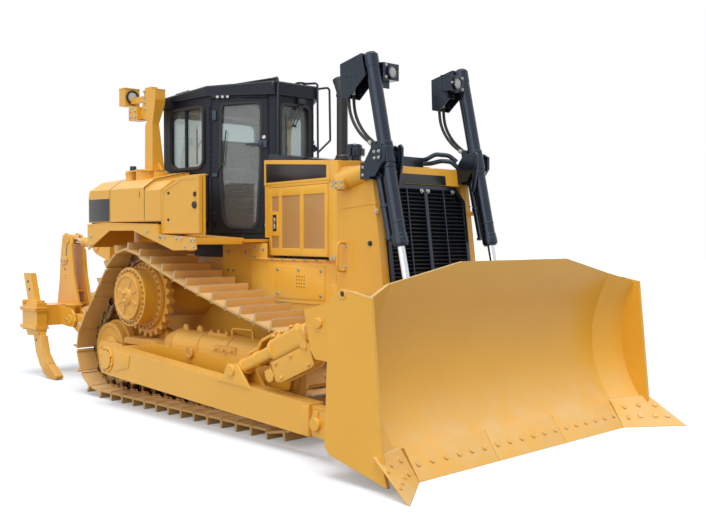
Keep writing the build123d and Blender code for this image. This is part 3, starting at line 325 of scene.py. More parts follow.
# %% [markdown]
# Cab glass is a thin green-tinted sheet. It keeps a plain transmission, because dirt or
# colour that is worked out per point belongs to opaque things. Lamp glass is opaque here,
# with fine moulded flutes as bump; its pale colour, banded by the flutes, is a painted
# reflection of a bright bowl behind clear glass.
# %% Glass and lamps
glass = bpy.data.materials.new("cab_glass")
glass.use_nodes = True
pane = glass.node_tree.nodes["Principled BSDF"]
smear = add_node(glass.node_tree, "ShaderNodeTexNoise",
                 {"Vector": add_node(glass.node_tree, "ShaderNodeTexCoord").outputs["Object"], "Scale": 5.0,
                  "Detail": 3.0})
tint = mix_colours(glass.node_tree, smear.outputs["Fac"], srgb(214, 224, 222), srgb(196, 206, 206))
glass.node_tree.links.new(tint, pane.inputs["Base Color"])
pane.inputs["Roughness"].default_value = 0.02
pane.inputs["Transmission Weight"].default_value = 0.9
pane.inputs["IOR"].default_value = 1.45

lens = bpy.data.materials.new("lamp_lens")
lens.use_nodes = True
shell = lens.node_tree.nodes["Principled BSDF"]
shell.inputs["Roughness"].default_value = 0.12
shell.inputs["Coat Weight"].default_value = 1.0
flutes = add_node(lens.node_tree, "ShaderNodeTexWave",
                  {"Vector": add_node(lens.node_tree, "ShaderNodeTexCoord").outputs["Object"],
                   "Scale": 45.0}, bands_direction="Y")
ridge = add_node(lens.node_tree, "ShaderNodeBump", {"Height": flutes.outputs["Fac"], "Distance": 0.003})
lens.node_tree.links.new(ridge.outputs[0], shell.inputs["Normal"])
# painted reflection: pale and grey bands along the flutes stand for the bright bowl behind the glass
lens_painted_reflection = mix_colours(lens.node_tree, flutes.outputs["Fac"], srgb(232, 232, 226), srgb(150, 152, 150))
lens.node_tree.links.new(lens_painted_reflection, shell.inputs["Base Color"])
print("glass", glass.name, lens.name)

# %% [markdown]
# ## A bench for making pieces
# Real plate work is flame-cut outlines, turned parts and bent tube, welded or bolted
# together. The bench has one call for each: a flat outline with a thickness, a turned
# profile about an axis, and a block. Each solid is chamfered and faces outwards before
# it joins the piece, and a place matrix sets it on a leaning or turned face.
# %% The bench
UP, LEFT, RIGHT, FORWARD, BACKWARD = (0, 0, 1), (0, 1, 0), (0, -1, 0), (1, 0, 0), (-1, 0, 0)
SIDES = (("right", -1), ("left", 1))


def lifted(point, axis, height):
    """A flat point as a point in space, at a height along x, y or z."""
    place = list(point)
    place.insert("xyz".index(axis), height)
    return place


class Bench:
    """One piece being made: closed solids gathered in one mesh."""

    def __init__(self, chamfer=0.004, place=None):
        self.mesh = bmesh.new()
        self.chamfer = chamfer
        self.place = place or Matrix.Identity(4)

    def add(self, points, faces, chamfer=None):
        solid = bmesh.new()
        corners = [solid.verts.new(self.place @ Vector(p)) for p in points]
        for face in faces:
            solid.faces.new([corners[i] for i in face])
        bmesh.ops.recalc_face_normals(solid, faces=solid.faces)
        width = self.chamfer if chamfer is None else chamfer
        if width:
            sharp = [e for e in solid.edges if e.calc_face_angle(0.0) > radians(28)]
            bmesh.ops.bevel(solid, geom=sharp, offset=width, segments=2, profile=0.7, affect="EDGES",
                            clamp_overlap=True)
        made = bpy.data.meshes.new("solid")
        solid.to_mesh(made)
        solid.free()
        self.mesh.from_mesh(made)
        bpy.data.meshes.remove(made)

    def plate(self, outline, axis, low, high, chamfer=None):
        """A flat outline pushed through a thickness along x, y or z."""
        count = len(outline)
        points = [lifted(p, axis, t) for t in (low, high) for p in outline]
        sides = [(i, (i + 1) % count, count + (i + 1) % count, count + i) for i in range(count)]
        self.add(points, [tuple(range(count)), tuple(range(count, 2 * count))] + sides, chamfer)

    def block(self, x, y, z, chamfer=None):
        self.plate([(x[0], y[0]), (x[1], y[0]), (x[1], y[1]), (x[0], y[1])], "z", z[0], z[1], chamfer)

    def ring(self, outer, inner, axis, low, high):
        """A plate between an outer and an inner outline that have the same number of points."""
        count = len(outer)
        points = [lifted(p, axis, t) for t in (low, high) for line in (outer, inner) for p in line]
        faces = []
        for i in range(count):
            k = (i + 1) % count
            faces += [(i, k, count + k, count + i),
                      (2 * count + i, 2 * count + k, 3 * count + k, 3 * count + i),
                      (i, k, 2 * count + k, 2 * count + i),
                      (count + i, count + k, 3 * count + k, 3 * count + i)]
        self.add(points, faces, 0)

    def turned(self, start, axis, profile, sides=32, chamfer=0, hollow=False):
        """A turned part: (distance along the axis, radius) pairs; a radius of 0 closes an end.

        A hollow part keeps its bore: its last pair joins its first."""
        start = Vector(start)
        axis = Vector(axis).normalized()
        across = axis.orthogonal().normalized()
        other = axis.cross(across)
        points, rows = [], []
        for distance, radius in profile:
            centre = start + axis * distance
            if radius <= 0:
                rows.append([len(points)])
                points.append(centre)
            else:
                rows.append(list(range(len(points), len(points) + sides)))
                for i in range(sides):
                    turn = 2 * pi * i / sides
                    points.append(centre + across * (radius * cos(turn)) + other * (radius * sin(turn)))
        faces = []
        for first, second in zip(rows, rows[1:] + rows[:1] if hollow else rows[1:]):
            for i in range(sides):
                k = (i + 1) % sides
                corners = [first[i % len(first)], first[k % len(first)], second[k % len(second)],
                           second[i % len(second)]]
                faces.append(tuple(dict.fromkeys(corners)))
        for row in (rows[0], rows[-1]):
            if len(row) > 1 and not hollow:
                faces.append(tuple(row))
        self.add(points, faces, chamfer)

    def disc(self, start, axis, radius, length, sides=32, chamfer=0):
        self.turned(start, axis, [(0, 0), (0, radius), (length, radius), (length, 0)], sides, chamfer)

    def knob(self, start, axis, radius, shoulder, top_radius, length, sides=32):
        """A disc that narrows from its shoulder to its top."""
        self.turned(start, axis, [(0, 0), (0, radius), (shoulder, radius), (length, top_radius),
                                  (length, 0)], sides)

    def bar(self, start, end, radius, sides=24, lip=0.003):
        """A round bar with its end edges broken."""
        length = (Vector(end) - Vector(start)).length
        self.turned(start, Vector(end) - Vector(start),
                    [(0, 0), (0, radius - lip), (lip, radius), (length - lip, radius),
                     (length, radius - lip), (length, 0)], sides)

    def mirror(self):
        """Moves the piece to the other side of the machine."""
        for vert in self.mesh.verts:
            vert.co.y = -vert.co.y
        bmesh.ops.reverse_faces(self.mesh, faces=list(self.mesh.faces))

    def copy_mirrored(self):
        """The same piece again on the other side of the machine."""
        faces = list(self.mesh.faces)
        made = bmesh.ops.duplicate(self.mesh, geom=list(self.mesh.verts) + list(self.mesh.edges) + faces)
        twins = [v for v in made["geom"] if isinstance(v, bmesh.types.BMVert)]
        for vert in twins:
            vert.co.y = -vert.co.y
        copied = [f for f in made["geom"] if isinstance(f, bmesh.types.BMFace)]
        bmesh.ops.reverse_faces(self.mesh, faces=copied)

    def finish(self, name, body="tractor", finish=yellow, smooth=32, slot=None):
        """The finished object, riding on its body."""
        made = bpy.data.meshes.new(name)
        self.mesh.to_mesh(made)
        self.mesh.free()
        return settle(made, name, body, finish, smooth)


piece_count = {}


def settle(mesh, name, body, finish, smooth=32):
    mesh.polygons.foreach_set("use_smooth", [True] * len(mesh.polygons))
    mesh.set_sharp_from_angle(angle=radians(smooth))
    mesh.materials.clear()
    mesh.materials.append(finish)
    piece = bpy.data.objects.new(name, mesh)
    scene.collection.objects.link(piece)
    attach(piece, body)
    piece_count[name] = len(mesh.polygons)
    return piece


def leaning(origin, right, up):
    """A place whose x runs right, whose y runs up, and whose z stands out of the face."""
    right = Vector(right).normalized()
    out = right.cross(Vector(up)).normalized()
    up = out.cross(right)
    columns = [right, up, out, Vector(origin)]
    return Matrix([[c[i] for c in columns] for i in range(3)] + [[0, 0, 0, 1]])


def rounded_outline(left, right, low, high, radius, steps=5):
    """A rectangle with round corners, anticlockwise from its lower left."""
    points = []
    for cx, cy, start in ((left + radius, low + radius, pi), (right - radius, low + radius, 1.5 * pi),
                          (right - radius, high - radius, 0), (left + radius, high - radius, 0.5 * pi)):
        for i in range(steps + 1):
            turn = start + 0.5 * pi * i / steps
            points.append((cx + radius * cos(turn), cy + radius * sin(turn)))
    return points


def span(side, near, far):
    """The low and high end of a width on one side of the machine."""
    return sorted((side * near, side * far))


print("bench ready")

# %% [markdown]
# ## Three Geometry Nodes trees for what repeats
# A crawler has hundreds of bolts, forty identical shoes a side and metres of bent tube.
# "Bolt heads" puts a hexagon and its washer on every point, turned to face the way the
# point says. "Chain" lays copies of one part along a closed line at an even pitch.
# "Bent tube" rounds the corners of a line and gives it a round section. All three end
# in real geometry with its material, and are turned into plain meshes.
# %% The trees
def new_tree(name, inputs):
    wanted = [("Geometry", "Geometry", None)] + inputs + [("Finish", "Material", None)]
    tree, given, result = new_group(name, "GeometryNodeTree", wanted, [("Geometry", "Geometry")])
    tree.is_modifier = True
    return tree, given.outputs, result


def end_tree(tree, geometry, finish, result):
    real = add_node(tree, "GeometryNodeRealizeInstances", {"Geometry": geometry})
    painted = add_node(tree, "GeometryNodeSetMaterial", {"Geometry": real.outputs[0], "Material": finish})
    tree.links.new(painted.outputs[0], result.inputs[0])


def named_direction(tree, name):
    node = add_node(tree, "GeometryNodeInputNamedAttribute", {"Name": name}, data_type="FLOAT_VECTOR")
    return node.outputs["Attribute"]


bolt_heads, size, result = new_tree("bolt heads", [("Across", "Float", 0.03), ("Height", "Float", 0.016),
                                                   ("Corners", "Int", 6), ("Washer", "Float", 1.3)])
head_radius = maths(bolt_heads, "MULTIPLY", size["Across"], 0.5)
head = add_node(bolt_heads, "GeometryNodeMeshCylinder", {"Vertices": size["Corners"], "Radius": head_radius,
                                                         "Depth": size["Height"]})
half = maths(bolt_heads, "MULTIPLY", size["Height"], 0.5)
stand = add_node(bolt_heads, "ShaderNodeCombineXYZ", {"Z": half})
raised = add_node(bolt_heads, "GeometryNodeTransform",
                  {"Geometry": head.outputs[0], "Translation": stand.outputs[0]})
disc = add_node(bolt_heads, "GeometryNodeMeshCylinder",
                {"Vertices": 14, "Radius": maths(bolt_heads, "MULTIPLY", head_radius, size["Washer"]),
                 "Depth": maths(bolt_heads, "MULTIPLY", size["Height"], 0.4)})
bolt = add_node(bolt_heads, "GeometryNodeJoinGeometry")
bolt_heads.links.new(raised.outputs[0], bolt.inputs[0])
bolt_heads.links.new(disc.outputs[0], bolt.inputs[0])
turn = add_node(bolt_heads, "FunctionNodeAlignRotationToVector",
                {"Vector": named_direction(bolt_heads, "facing")}, axis="Z")
placed = add_node(bolt_heads, "GeometryNodeInstanceOnPoints",
                  {"Points": size["Geometry"], "Instance": bolt.outputs[0], "Rotation": turn.outputs[0]})
end_tree(bolt_heads, placed.outputs[0], size["Finish"], result)

chain_tree, size, result = new_tree("chain", [("Count", "Int", 40), ("Part", "Object", None),
                                              ("Shift", "Float", 0.0)])
line = add_node(chain_tree, "GeometryNodeMeshToCurve", {"Mesh": size["Geometry"]})
even = add_node(chain_tree, "GeometryNodeResampleCurve", {"Curve": line.outputs[0], "Count": size["Count"]})
heading = add_node(chain_tree, "GeometryNodeInputTangent")
turn = add_node(chain_tree, "FunctionNodeAlignRotationToVector", {"Vector": heading.outputs[0]}, axis="X",
                pivot_axis="Y")
part = add_node(chain_tree, "GeometryNodeObjectInfo", {"Object": size["Part"]})
placed = add_node(chain_tree, "GeometryNodeInstanceOnPoints",
                  {"Points": even.outputs[0], "Instance": part.outputs[4], "Rotation": turn.outputs[0]})
moved = add_node(chain_tree, "ShaderNodeCombineXYZ", {"Y": size["Shift"]})
across = add_node(chain_tree, "GeometryNodeTransform",
                  {"Geometry": placed.outputs[0], "Translation": moved.outputs[0]})
end_tree(chain_tree, across.outputs[0], size["Finish"], result)

bent_tube, size, result = new_tree("bent tube",
                                   [("Tube radius", "Float", 0.015), ("Bend radius", "Float", 0.05),
                                    ("Corners", "Int", 14)])
line = add_node(bent_tube, "GeometryNodeMeshToCurve", {"Mesh": size["Geometry"]})
bent = add_node(bent_tube, "GeometryNodeFilletCurve",
                {"Curve": line.outputs[0], "Radius": size["Bend radius"], "Count": 5, "Limit Radius": True},
                mode="POLY")
section = add_node(bent_tube, "GeometryNodeCurvePrimitiveCircle", {"Resolution": size["Corners"],
                                                                   "Radius": size["Tube radius"]})
tube = add_node(bent_tube, "GeometryNodeCurveToMesh",
                {"Curve": bent.outputs[0], "Profile Curve": section.outputs[0], "Fill Caps": True})
end_tree(bent_tube, tube.outputs[0], size["Finish"], result)


def grow(tree, mesh, values):
    """The plain mesh that a tree makes from a starting mesh."""
    start = bpy.data.objects.new("start", mesh)
    scene.collection.objects.link(start)
    modifier = start.modifiers.new("tree", "NODES")
    modifier.node_group = tree
    for item in tree.interface.items_tree:
        if item.in_out == "INPUT" and item.name in values:
            modifier[item.identifier] = values[item.name]
    bpy.context.view_layer.update()
    ready = start.evaluated_get(bpy.context.evaluated_depsgraph_get())
    made = bpy.data.meshes.new_from_object(ready)
    bpy.data.objects.remove(start)
    return made


def bolts(name, body, places, across=0.03, height=0.016, finish=yellow, corners=6, washer=1.3):
    """Bolt heads at (point, facing) pairs."""
    mesh = bpy.data.meshes.new("bolt places")
    mesh.from_pydata([tuple(p) for p, _ in places], [], [])
    facing = mesh.attributes.new("facing", "FLOAT_VECTOR", "POINT")
    facing.data.foreach_set("vector", [v for _, f in places for v in Vector(f).normalized()])
    made = grow(bolt_heads, mesh, {"Across": across, "Height": height, "Corners": corners, "Washer": washer,
                                   "Finish": finish})
    return settle(made, name, body, finish)


def tubes(name, body, routes, radius, bend=0.05, finish=yellow, corners=14):
    """Bent tubes along several open routes."""
    points, edges = [], []
    for route in routes:
        edges += [(len(points) + i, len(points) + i + 1) for i in range(len(route) - 1)]
        points += [tuple(p) for p in route]
    mesh = bpy.data.meshes.new("tube routes")
    mesh.from_pydata(points, edges, [])
    made = grow(bent_tube, mesh, {"Tube radius": radius, "Bend radius": bend, "Corners": corners,
                                  "Finish": finish})
    fix = bmesh.new()
    fix.from_mesh(made)
    bmesh.ops.recalc_face_normals(fix, faces=fix.faces)
    fix.to_mesh(made)
    fix.free()
    return settle(made, name, body, finish, 50)


def mirrored(places):
    """The places' twins on the other side of the machine."""
    return [((p[0], -p[1], p[2]), (f[0], -f[1], f[2])) for p, f in places]


def both_sides(places):
    return places + mirrored(places)


def side_spots(y, spots):
    """Places on a face that looks left, from (x, z) pairs."""
    return [((x, y, z), LEFT) for x, z in spots]


def round_spots(x, y, z, radius, turns):
    """Places on a circle on a face that looks left, one for each turn in radians."""
    return side_spots(y, [(x + radius * cos(turn), z + radius * sin(turn)) for turn in turns])


def even_turns(count):
    return [2 * pi * i / count for i in range(count)]


print("trees", [t.name for t in (bolt_heads, chain_tree, bent_tube)])

# %% [markdown]
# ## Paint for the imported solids
# Most solids of the machine have their right shape already, so they keep it and only
# get a finish. The table says which finish each node's own material slot gets.
# %% Paint the nodes
node_finishes = [(yellow, ["radiator_guard", "fenders", "fuel_tank", "side_tank_right", "side_tank_left",
                           "tool_box", "battery_box", "rops_frame", "roller_frame_right",
                           "roller_frame_left", "final_drives", "ripper_bracket", "trunnion_caps",
                           "ripper_drawframe", "ripper_beam", "ripper_shank", "battery_box_door",
                           "push_arm_right", "push_arm_left", "tilt_barrel_right", "tilt_barrel_left",
                           "ripper_tilt_barrels", "ripper_lift_barrels", "rear_lamps"]),
                 (yellow_cast, ["sprockets", "idlers", "rollers"]), (blade_paint, ["blade"]),
                 (hood_paint, ["main_frame", "hood", "engine_door_right", "engine_door_left"]),
                 (black_paint, ["lift_barrel_right", "lift_barrel_left", "lift_yokes", "precleaner"]),
                 (soot, ["exhaust_stack"]), (grille_paint, ["grille"]),
                 (iron, ["engine_block", "ripper_pins"]),
                 (cab_paint, ["cab_shell", "cab_roof", "cab_door_right", "cab_door_left"]),
                 (glass, ["cab_glass", "door_glass_right", "door_glass_left"]), (plastic, ["cab_controls"]),
                 (chrome, ["tilt_rod_right", "tilt_rod_left", "lift_rod_right", "lift_rod_left",
                           "ripper_tilt_rods", "ripper_lift_rods"])]
for finish, nodes in node_finishes:
    for node in nodes:
        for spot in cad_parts[node].material_slots:
            spot.material = finish
print("painted", sum(len(nodes) for _, nodes in node_finishes), "of", len(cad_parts), "nodes")

# %% [markdown]
# ## Tracks
# A track is a chain. Each link carries one steel shoe with a tall bar, the grouser,
# across it. A plain band would look like rubber, so both tracks are built new from one
# shoe and one pair of links, laid along the pin line by the chain tree. The pin line
# runs over the high sprocket and both idlers, straight along the ground, with a little
# sag in the top run. Grousers are rubbed bright along their crests, which a "worn"
# value on their vertices says.
# %% The pin line
link_pitch, link_count = 0.2159, 40
track_middle, half_shoe = 0.99, 0.28
rear_idler, sprocket, front_idler = (-1.33, 0.501, 0.36), (-0.715, 1.1, 0.417), (1.67, 0.501, 0.36)
wheels = [rear_idler, sprocket, front_idler]
top_sag = 0.05
arc_steps, sag_steps = 24, 12


def pin_line():
    """The closed pin line in XZ: wheel arcs joined by outer tangents, clockwise from the rear."""
    turns = []
    for i, (x, z, r) in enumerate(wheels):
        nx, nz, nr = wheels[(i + 1) % 3]
        heading = atan2(nz - z, nx - x)
        turns.append(heading + atan2(nr - r, hypot(nx - x, nz - z)) + pi / 2)
    points = []
    for i, (x, z, r) in enumerate(wheels):
        begin, end = turns[i - 1], turns[i]
        while end > begin:
            end -= 2 * pi
        for k in range(arc_steps + 1):
            turn = begin + (end - begin) * k / arc_steps
            points.append((x + r * cos(turn), z + r * sin(turn)))
        if i == 1:
            nx, nz, nr = front_idler
            a, b = points[-1], (nx + nr * cos(turns[1]), nz + nr * sin(turns[1]))
            for k in range(1, sag_steps):
                share = k / sag_steps
                sag = 4 * top_sag * share * (1 - share)
                points.append((a[0] + (b[0] - a[0]) * share, a[1] + (b[1] - a[1]) * share - sag))
    return points


line_points = pin_line()
following = line_points[1:] + line_points[:1]
line_length = sum(hypot(a[0] - b[0], a[1] - b[1]) for a, b in zip(line_points, following))
print("pin line", round(line_length, 3), "m for", link_count, "links of", link_pitch)

# %% One shoe and one pair of links
bench = Bench(chamfer=0.0)
shoe_profile = [(-0.106, 0.048), (0.104, 0.048), (0.106, 0.035), (0.132, 0.035), (0.134, 0.046),
                (0.108, 0.070), (-0.074, 0.070), (-0.086, 0.136), (-0.089, 0.1405), (-0.100, 0.1405),
                (-0.103, 0.136), (-0.106, 0.070)]
bench.plate(shoe_profile, "y", -half_shoe, half_shoe)
for x in (-0.028, 0.05):
    for y in (-0.085, -0.045, 0.045, 0.085):
        bench.turned((x, y, 0.069), UP, [(0, 0), (0, 0.016), (0.012, 0.015), (0.012, 0)], sides=6)
shoe_mesh = bpy.data.meshes.new("shoe")
bench.mesh.to_mesh(shoe_mesh)
worn = shoe_mesh.attributes.new("worn", "FLOAT", "POINT")
crest_height = 0.138
worn.data.foreach_set("value", [1.0 if v.co.z > crest_height else 0.12 for v in shoe_mesh.vertices])
shoe = bpy.data.objects.new("shoe", shoe_mesh)

bench = Bench(chamfer=0.0)
for side in (-1, 1):
    for inner, x_start in ((0.045, -0.108), (0.058, 0.0)):
        width = (side * inner, side * (inner + 0.022))
        bench.block((x_start, x_start + 0.108), width, (-0.052, -0.026))
        bench.block((x_start, x_start + 0.108), width, (0.026, 0.048))
        bench.block((x_start + 0.048, x_start + 0.062), width, (-0.027, 0.027))
    for x in (-0.108, 0.108):
        bench.turned((x, side * 0.042, 0), (0, side, 0),
                     [(0, 0), (0, 0.043), (0.042, 0.043), (0.042, 0.02), (0.05, 0.02), (0.05, 0)], sides=12)
bench.disc((-0.108, -0.045, 0), LEFT, 0.033, 0.09, sides=12)
link_mesh = bpy.data.meshes.new("links")
bench.mesh.to_mesh(link_mesh)
rubbed = link_mesh.attributes.new("worn", "FLOAT", "POINT")
rubbed.data.foreach_set("value", [0.9 if v.co.z < -0.05 else 0.1 for v in link_mesh.vertices])
links = bpy.data.objects.new("links", link_mesh)
print("shoe", len(shoe_mesh.polygons), "faces, links", len(link_mesh.polygons))

# %% Lay both tracks
for name, side in SIDES:
    for part, label, finish in ((shoe, "shoes", track_paint), (links, "links", track_iron)):
        ring = bpy.data.meshes.new("pin line")
        # the line runs clockwise, so that a part's own +Z points out of the loop
        joined = [(i, (i + 1) % len(line_points)) for i in range(len(line_points))]
        ring.from_pydata([(x, 0, z) for x, z in line_points], joined, [])
        laid = grow(chain_tree, ring, {"Count": link_count, "Part": part, "Shift": side * track_middle,
                                       "Finish": finish})
        for vertex in laid.vertices:
            # a grouser just behind an idler would dip into the floor, so its tip is flattened
            vertex.co.z = max(vertex.co.z, 0.001)
        piece = settle(laid, f"track_{label}_{name}", "tractor", finish)
        if label == "shoes":
            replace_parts(piece, f"track_{name}")
        lowest = min(v.co.z for v in laid.vertices)
        foremost = max(v.co.x for v in laid.vertices)
        print(piece.name, len(laid.polygons), "faces", round(lowest, 3), round(foremost, 3))
bpy.data.objects.remove(shoe)
bpy.data.objects.remove(links)

# %% [markdown]
# ## Undercarriage fittings
# The high sprocket turns on a final drive with a dished cover held by a ring of small
# bolts. Idlers, rollers, guides and the recoil spring housing sit below it. Their solids
# are plain turned shapes, so the caps, ribs, collars, eyes and bolts are added on top.
# %% Final drives, idlers and rollers
drive_x, drive_z, _ = sprocket
cover_y = 1.2495
cover = Bench(chamfer=0.004)
# a rim on the inner housing, then the dished outer cover
cover.turned((drive_x, 1.0605, drive_z), LEFT,
             [(0, 0.343), (0.008, 0.343), (0.012, 0.338), (0.012, 0.300)], 64)
cover.turned((drive_x, cover_y, drive_z), LEFT,
             [(0, 0.236), (0.010, 0.236), (0.014, 0.231), (0.014, 0.208), (0.004, 0.200), (0.003, 0.1),
              (0.012, 0.088), (0.026, 0.082), (0.032, 0.070), (0.032, 0.030), (0.024, 0.026), (0.024, 0)],
             64)
# eight ribs on the cover, each round at both ends
for i in range(8):
    turn = 2 * pi * (i + 0.5) / 8
    along_rib, over = Vector((cos(turn), 0, sin(turn))), Vector((-sin(turn), 0, cos(turn)))
    outline = []
    for reach, radius, first_swing in ((0.178, 0.017, pi / 2), (0.104, 0.012, -pi / 2)):
        for k in range(5):
            swing = first_swing - pi * k / 4
            outline.append(along_rib * (reach + radius * cos(swing)) + over * (radius * sin(swing)))
    cover.plate([(drive_x + p.x, drive_z + p.z) for p in outline], "y", cover_y, 1.261, 0.003)
drive_bolts = round_spots(drive_x, 1.2285, drive_z, 0.268, even_turns(30))
drive_bolts += round_spots(drive_x, 1.0725, drive_z, 0.322, even_turns(30))
hub_bolts = round_spots(drive_x, 1.2815, drive_z, 0.048, even_turns(6))
for x, z, _ in (rear_idler, front_idler):
    cover.turned((x, 1.0995, z), LEFT, [(0, 0.286), (0.008, 0.284), (0.010, 0.252), (0.001, 0.240),
                                        (0.001, 0.150), (0.014, 0.140), (0.030, 0.128), (0.040, 0.118),
                                        (0.040, 0.09)], 48)
    cover.turned((x, 1.1395, z), LEFT, [(0, 0.092), (0.010, 0.092), (0.016, 0.084), (0.016, 0.036),
                                        (0.010, 0.032), (0.010, 0)], 32)
    hub_bolts += round_spots(x, 1.1555, z, 0.060, even_turns(6))
roller_xs = [-0.865 + 0.345 * i for i in range(7)]
for x in roller_xs:
    cover.turned((x, 1.1395, 0.294), LEFT, [(0, 0.052), (0.010, 0.052), (0.014, 0.046), (0.014, 0.016),
                                            (0.008, 0.014), (0.008, 0)], 24)
    cover.block((x - 0.075, x + 0.075), (1.118, 1.146), (0.330, 0.426))
    hub_bolts += side_spots(1.146, [(x - 0.05, 0.372), (x + 0.05, 0.372)])
cover.copy_mirrored()
cover.finish("wheel_covers", "tractor", yellow_cast)
bolts("final_drive_bolts", "tractor", both_sides(drive_bolts), 0.030, 0.014, track_iron, washer=1.15)
bolts("hub_bolts", "tractor", both_sides(hub_bolts), 0.026, 0.012)
print("drive bolts", 2 * len(drive_bolts))

# %% Recoil housings, guides and the pivot housing under the sprocket
recoil = Bench(chamfer=0.006)
# collars along the recoil housing, and the cone at its rear
for x in (-0.110, 0.34, 0.80, 1.215):
    recoil.turned((x, 0.99, 0.655), FORWARD, [(0, 0), (0, 0.152), (0.004, 0.156), (0.026, 0.156),
                                              (0.030, 0.152), (0.030, 0)], 40)
recoil.turned((-0.285, 0.99, 0.650), FORWARD,
              [(0, 0), (0, 0.080), (0.02, 0.112), (0.17, 0.140), (0.18, 0)], 36)
# a cover plate on top, then the pivot housing under the sprocket
recoil.block((0.42, 0.72), (0.925, 1.055), (0.780, 0.812))
recoil.plate([(-0.99, 0.60), (-0.36, 0.60), (-0.40, 0.655), (-0.48, 0.672), (-0.92, 0.672), (-0.98, 0.655)],
             "y", 0.86, 1.135)
recoil.plate([(-0.96, 0.66), (-0.44, 0.66), (-0.50, 0.76), (-0.62, 0.79), (-0.82, 0.79), (-0.92, 0.75)],
             "y", 0.855, 0.925)
# two lifting eyes, an oil port, a side cover and the track guides
for x in (-0.037, 0.201):
    recoil.plate([(x - 0.042, 0.780), (x + 0.042, 0.780), (x + 0.042, 0.822), (x + 0.028, 0.846),
                  (x, 0.856), (x - 0.028, 0.846), (x - 0.042, 0.822)], "y", 0.978, 1.002)
recoil.turned((0.256, 1.12, 0.612), LEFT, [(0, 0), (0, 0.062), (0.045, 0.062), (0.052, 0.056),
                                           (0.052, 0.030), (0.046, 0.028), (0.046, 0)], 28)
recoil.plate([(0.62, 0.66), (0.98, 0.66), (0.96, 0.715), (0.64, 0.715)], "y", 1.115, 1.15)
for x in (-1.075, -1.045, 1.245, 1.225):
    recoil.block((x, x + 0.16), (1.176, 1.188), (0.262, 0.300))
recoil.copy_mirrored()
recoil.finish("recoil_fittings", "tractor", yellow_cast, smooth=40)
frame_bolts = [((x, y, 0.812), UP) for x in (0.45, 0.57, 0.69) for y in (0.950, 1.030)]
frame_bolts += side_spots(1.176, ((-1.04, 0.36), (-0.96, 0.36), (-0.88, 0.36), (1.38, 0.37), (1.30, 0.37),
                                  (1.23, 0.37), (1.30, 0.52), (1.46, 0.52), (1.60, 0.54), (-1.38, 0.53),
                                  (-1.24, 0.53), (-1.08, 0.53)))
frame_bolts += side_spots(1.15, ((0.68, 0.688), (0.80, 0.688), (0.92, 0.688)))
bolts("roller_frame_bolts", "tractor", both_sides(frame_bolts), 0.034, 0.018)
handle_line = [(0.757, 0.79), (0.757, 0.868), (1.068, 0.874), (1.068, 0.79)]
loops = [[(x, side * 1.02, z) for x, z in handle_line] for side in (-1, 1)]
tubes("recoil_handles", "tractor", loops, 0.011, 0.03)
print("undercarriage fitted")

# %% [markdown]
# ## Blade edge, end bits and pins
# The moldboard wears at its foot, so it ends in separate hard steel plates: three edge
# segments and two long end bits, each held by round countersunk bolts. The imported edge
# solid shows one plain strip, so it is replaced by the real plates with their gaps.
# %% Cutting edge
edge = Bench(chamfer=0.003)
for low, high in ((-1.360, -0.454), (-0.450, 0.450), (0.454, 1.360)):
    edge.plate([(3.393, 0.0), (3.240, 0.219), (3.210, 0.206), (3.352, 0.0)], "y", low, high)
bit = [Vector((3.393, 1.363, 0.0)), Vector((3.240, 1.392, 0.219)), Vector((3.395, 1.800, 0.235)),
       Vector((3.748, 1.844, 0.0))]
bit_back = Vector((-0.030, 0.0, 0.008))
bit_corners = bit + [p + bit_back for p in bit]
bit_faces = [(0, 2, 1), (0, 3, 2), (4, 5, 6), (4, 6, 7), (0, 1, 5, 4), (1, 2, 6, 5), (2, 3, 7, 6),
             (3, 0, 4, 7)]
for flip in (1, -1):
    edge.add([Vector((p.x, flip * p.y, max(p.z, 0.0))) for p in bit_corners], bit_faces)
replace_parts(edge.finish("edge_plates", "blade", blade_paint), "cutting_edge")


def on_bit(y, z):
    """The point and facing of the end bit's front at a width and height."""
    upper = z > bit[2].z * (y - bit[0].y) / (bit[2].y - bit[0].y)
    corners = (bit[0], bit[1], bit[2]) if upper else (bit[0], bit[2], bit[3])
    normal = (corners[1] - corners[0]).cross(corners[2] - corners[0]).normalized()
    if normal.x < 0:
        normal = -normal
    x = corners[0].x - (normal.y * (y - corners[0].y) + normal.z * (z - corners[0].z)) / normal.x
    return (x, y, z), tuple(normal)


edge_facing = Vector((0.219, 0, 0.153)).normalized()
edge_bolts = [((3.316, y, 0.110), edge_facing)
              for y in (-1.300, -1.150, -1.000, -0.850, -0.700, -0.550, -0.390, -0.234, -0.078, 0.078,
                        0.234, 0.390, 0.550, 0.700, 0.850, 1.000, 1.150, 1.300)]
bit_bolts = [on_bit(y, z) for y, z in ((1.487, 0.167), (1.637, 0.172), (1.770, 0.165), (1.466, 0.080),
                                       (1.575, 0.084), (1.687, 0.083), (1.780, 0.080))]
bolts("edge_bolts", "blade", edge_bolts + both_sides(bit_bolts), 0.046, 0.010, blade_paint,
      corners=18, washer=1.12)
print("edge bolts", len(edge_bolts) + 2 * len(bit_bolts))

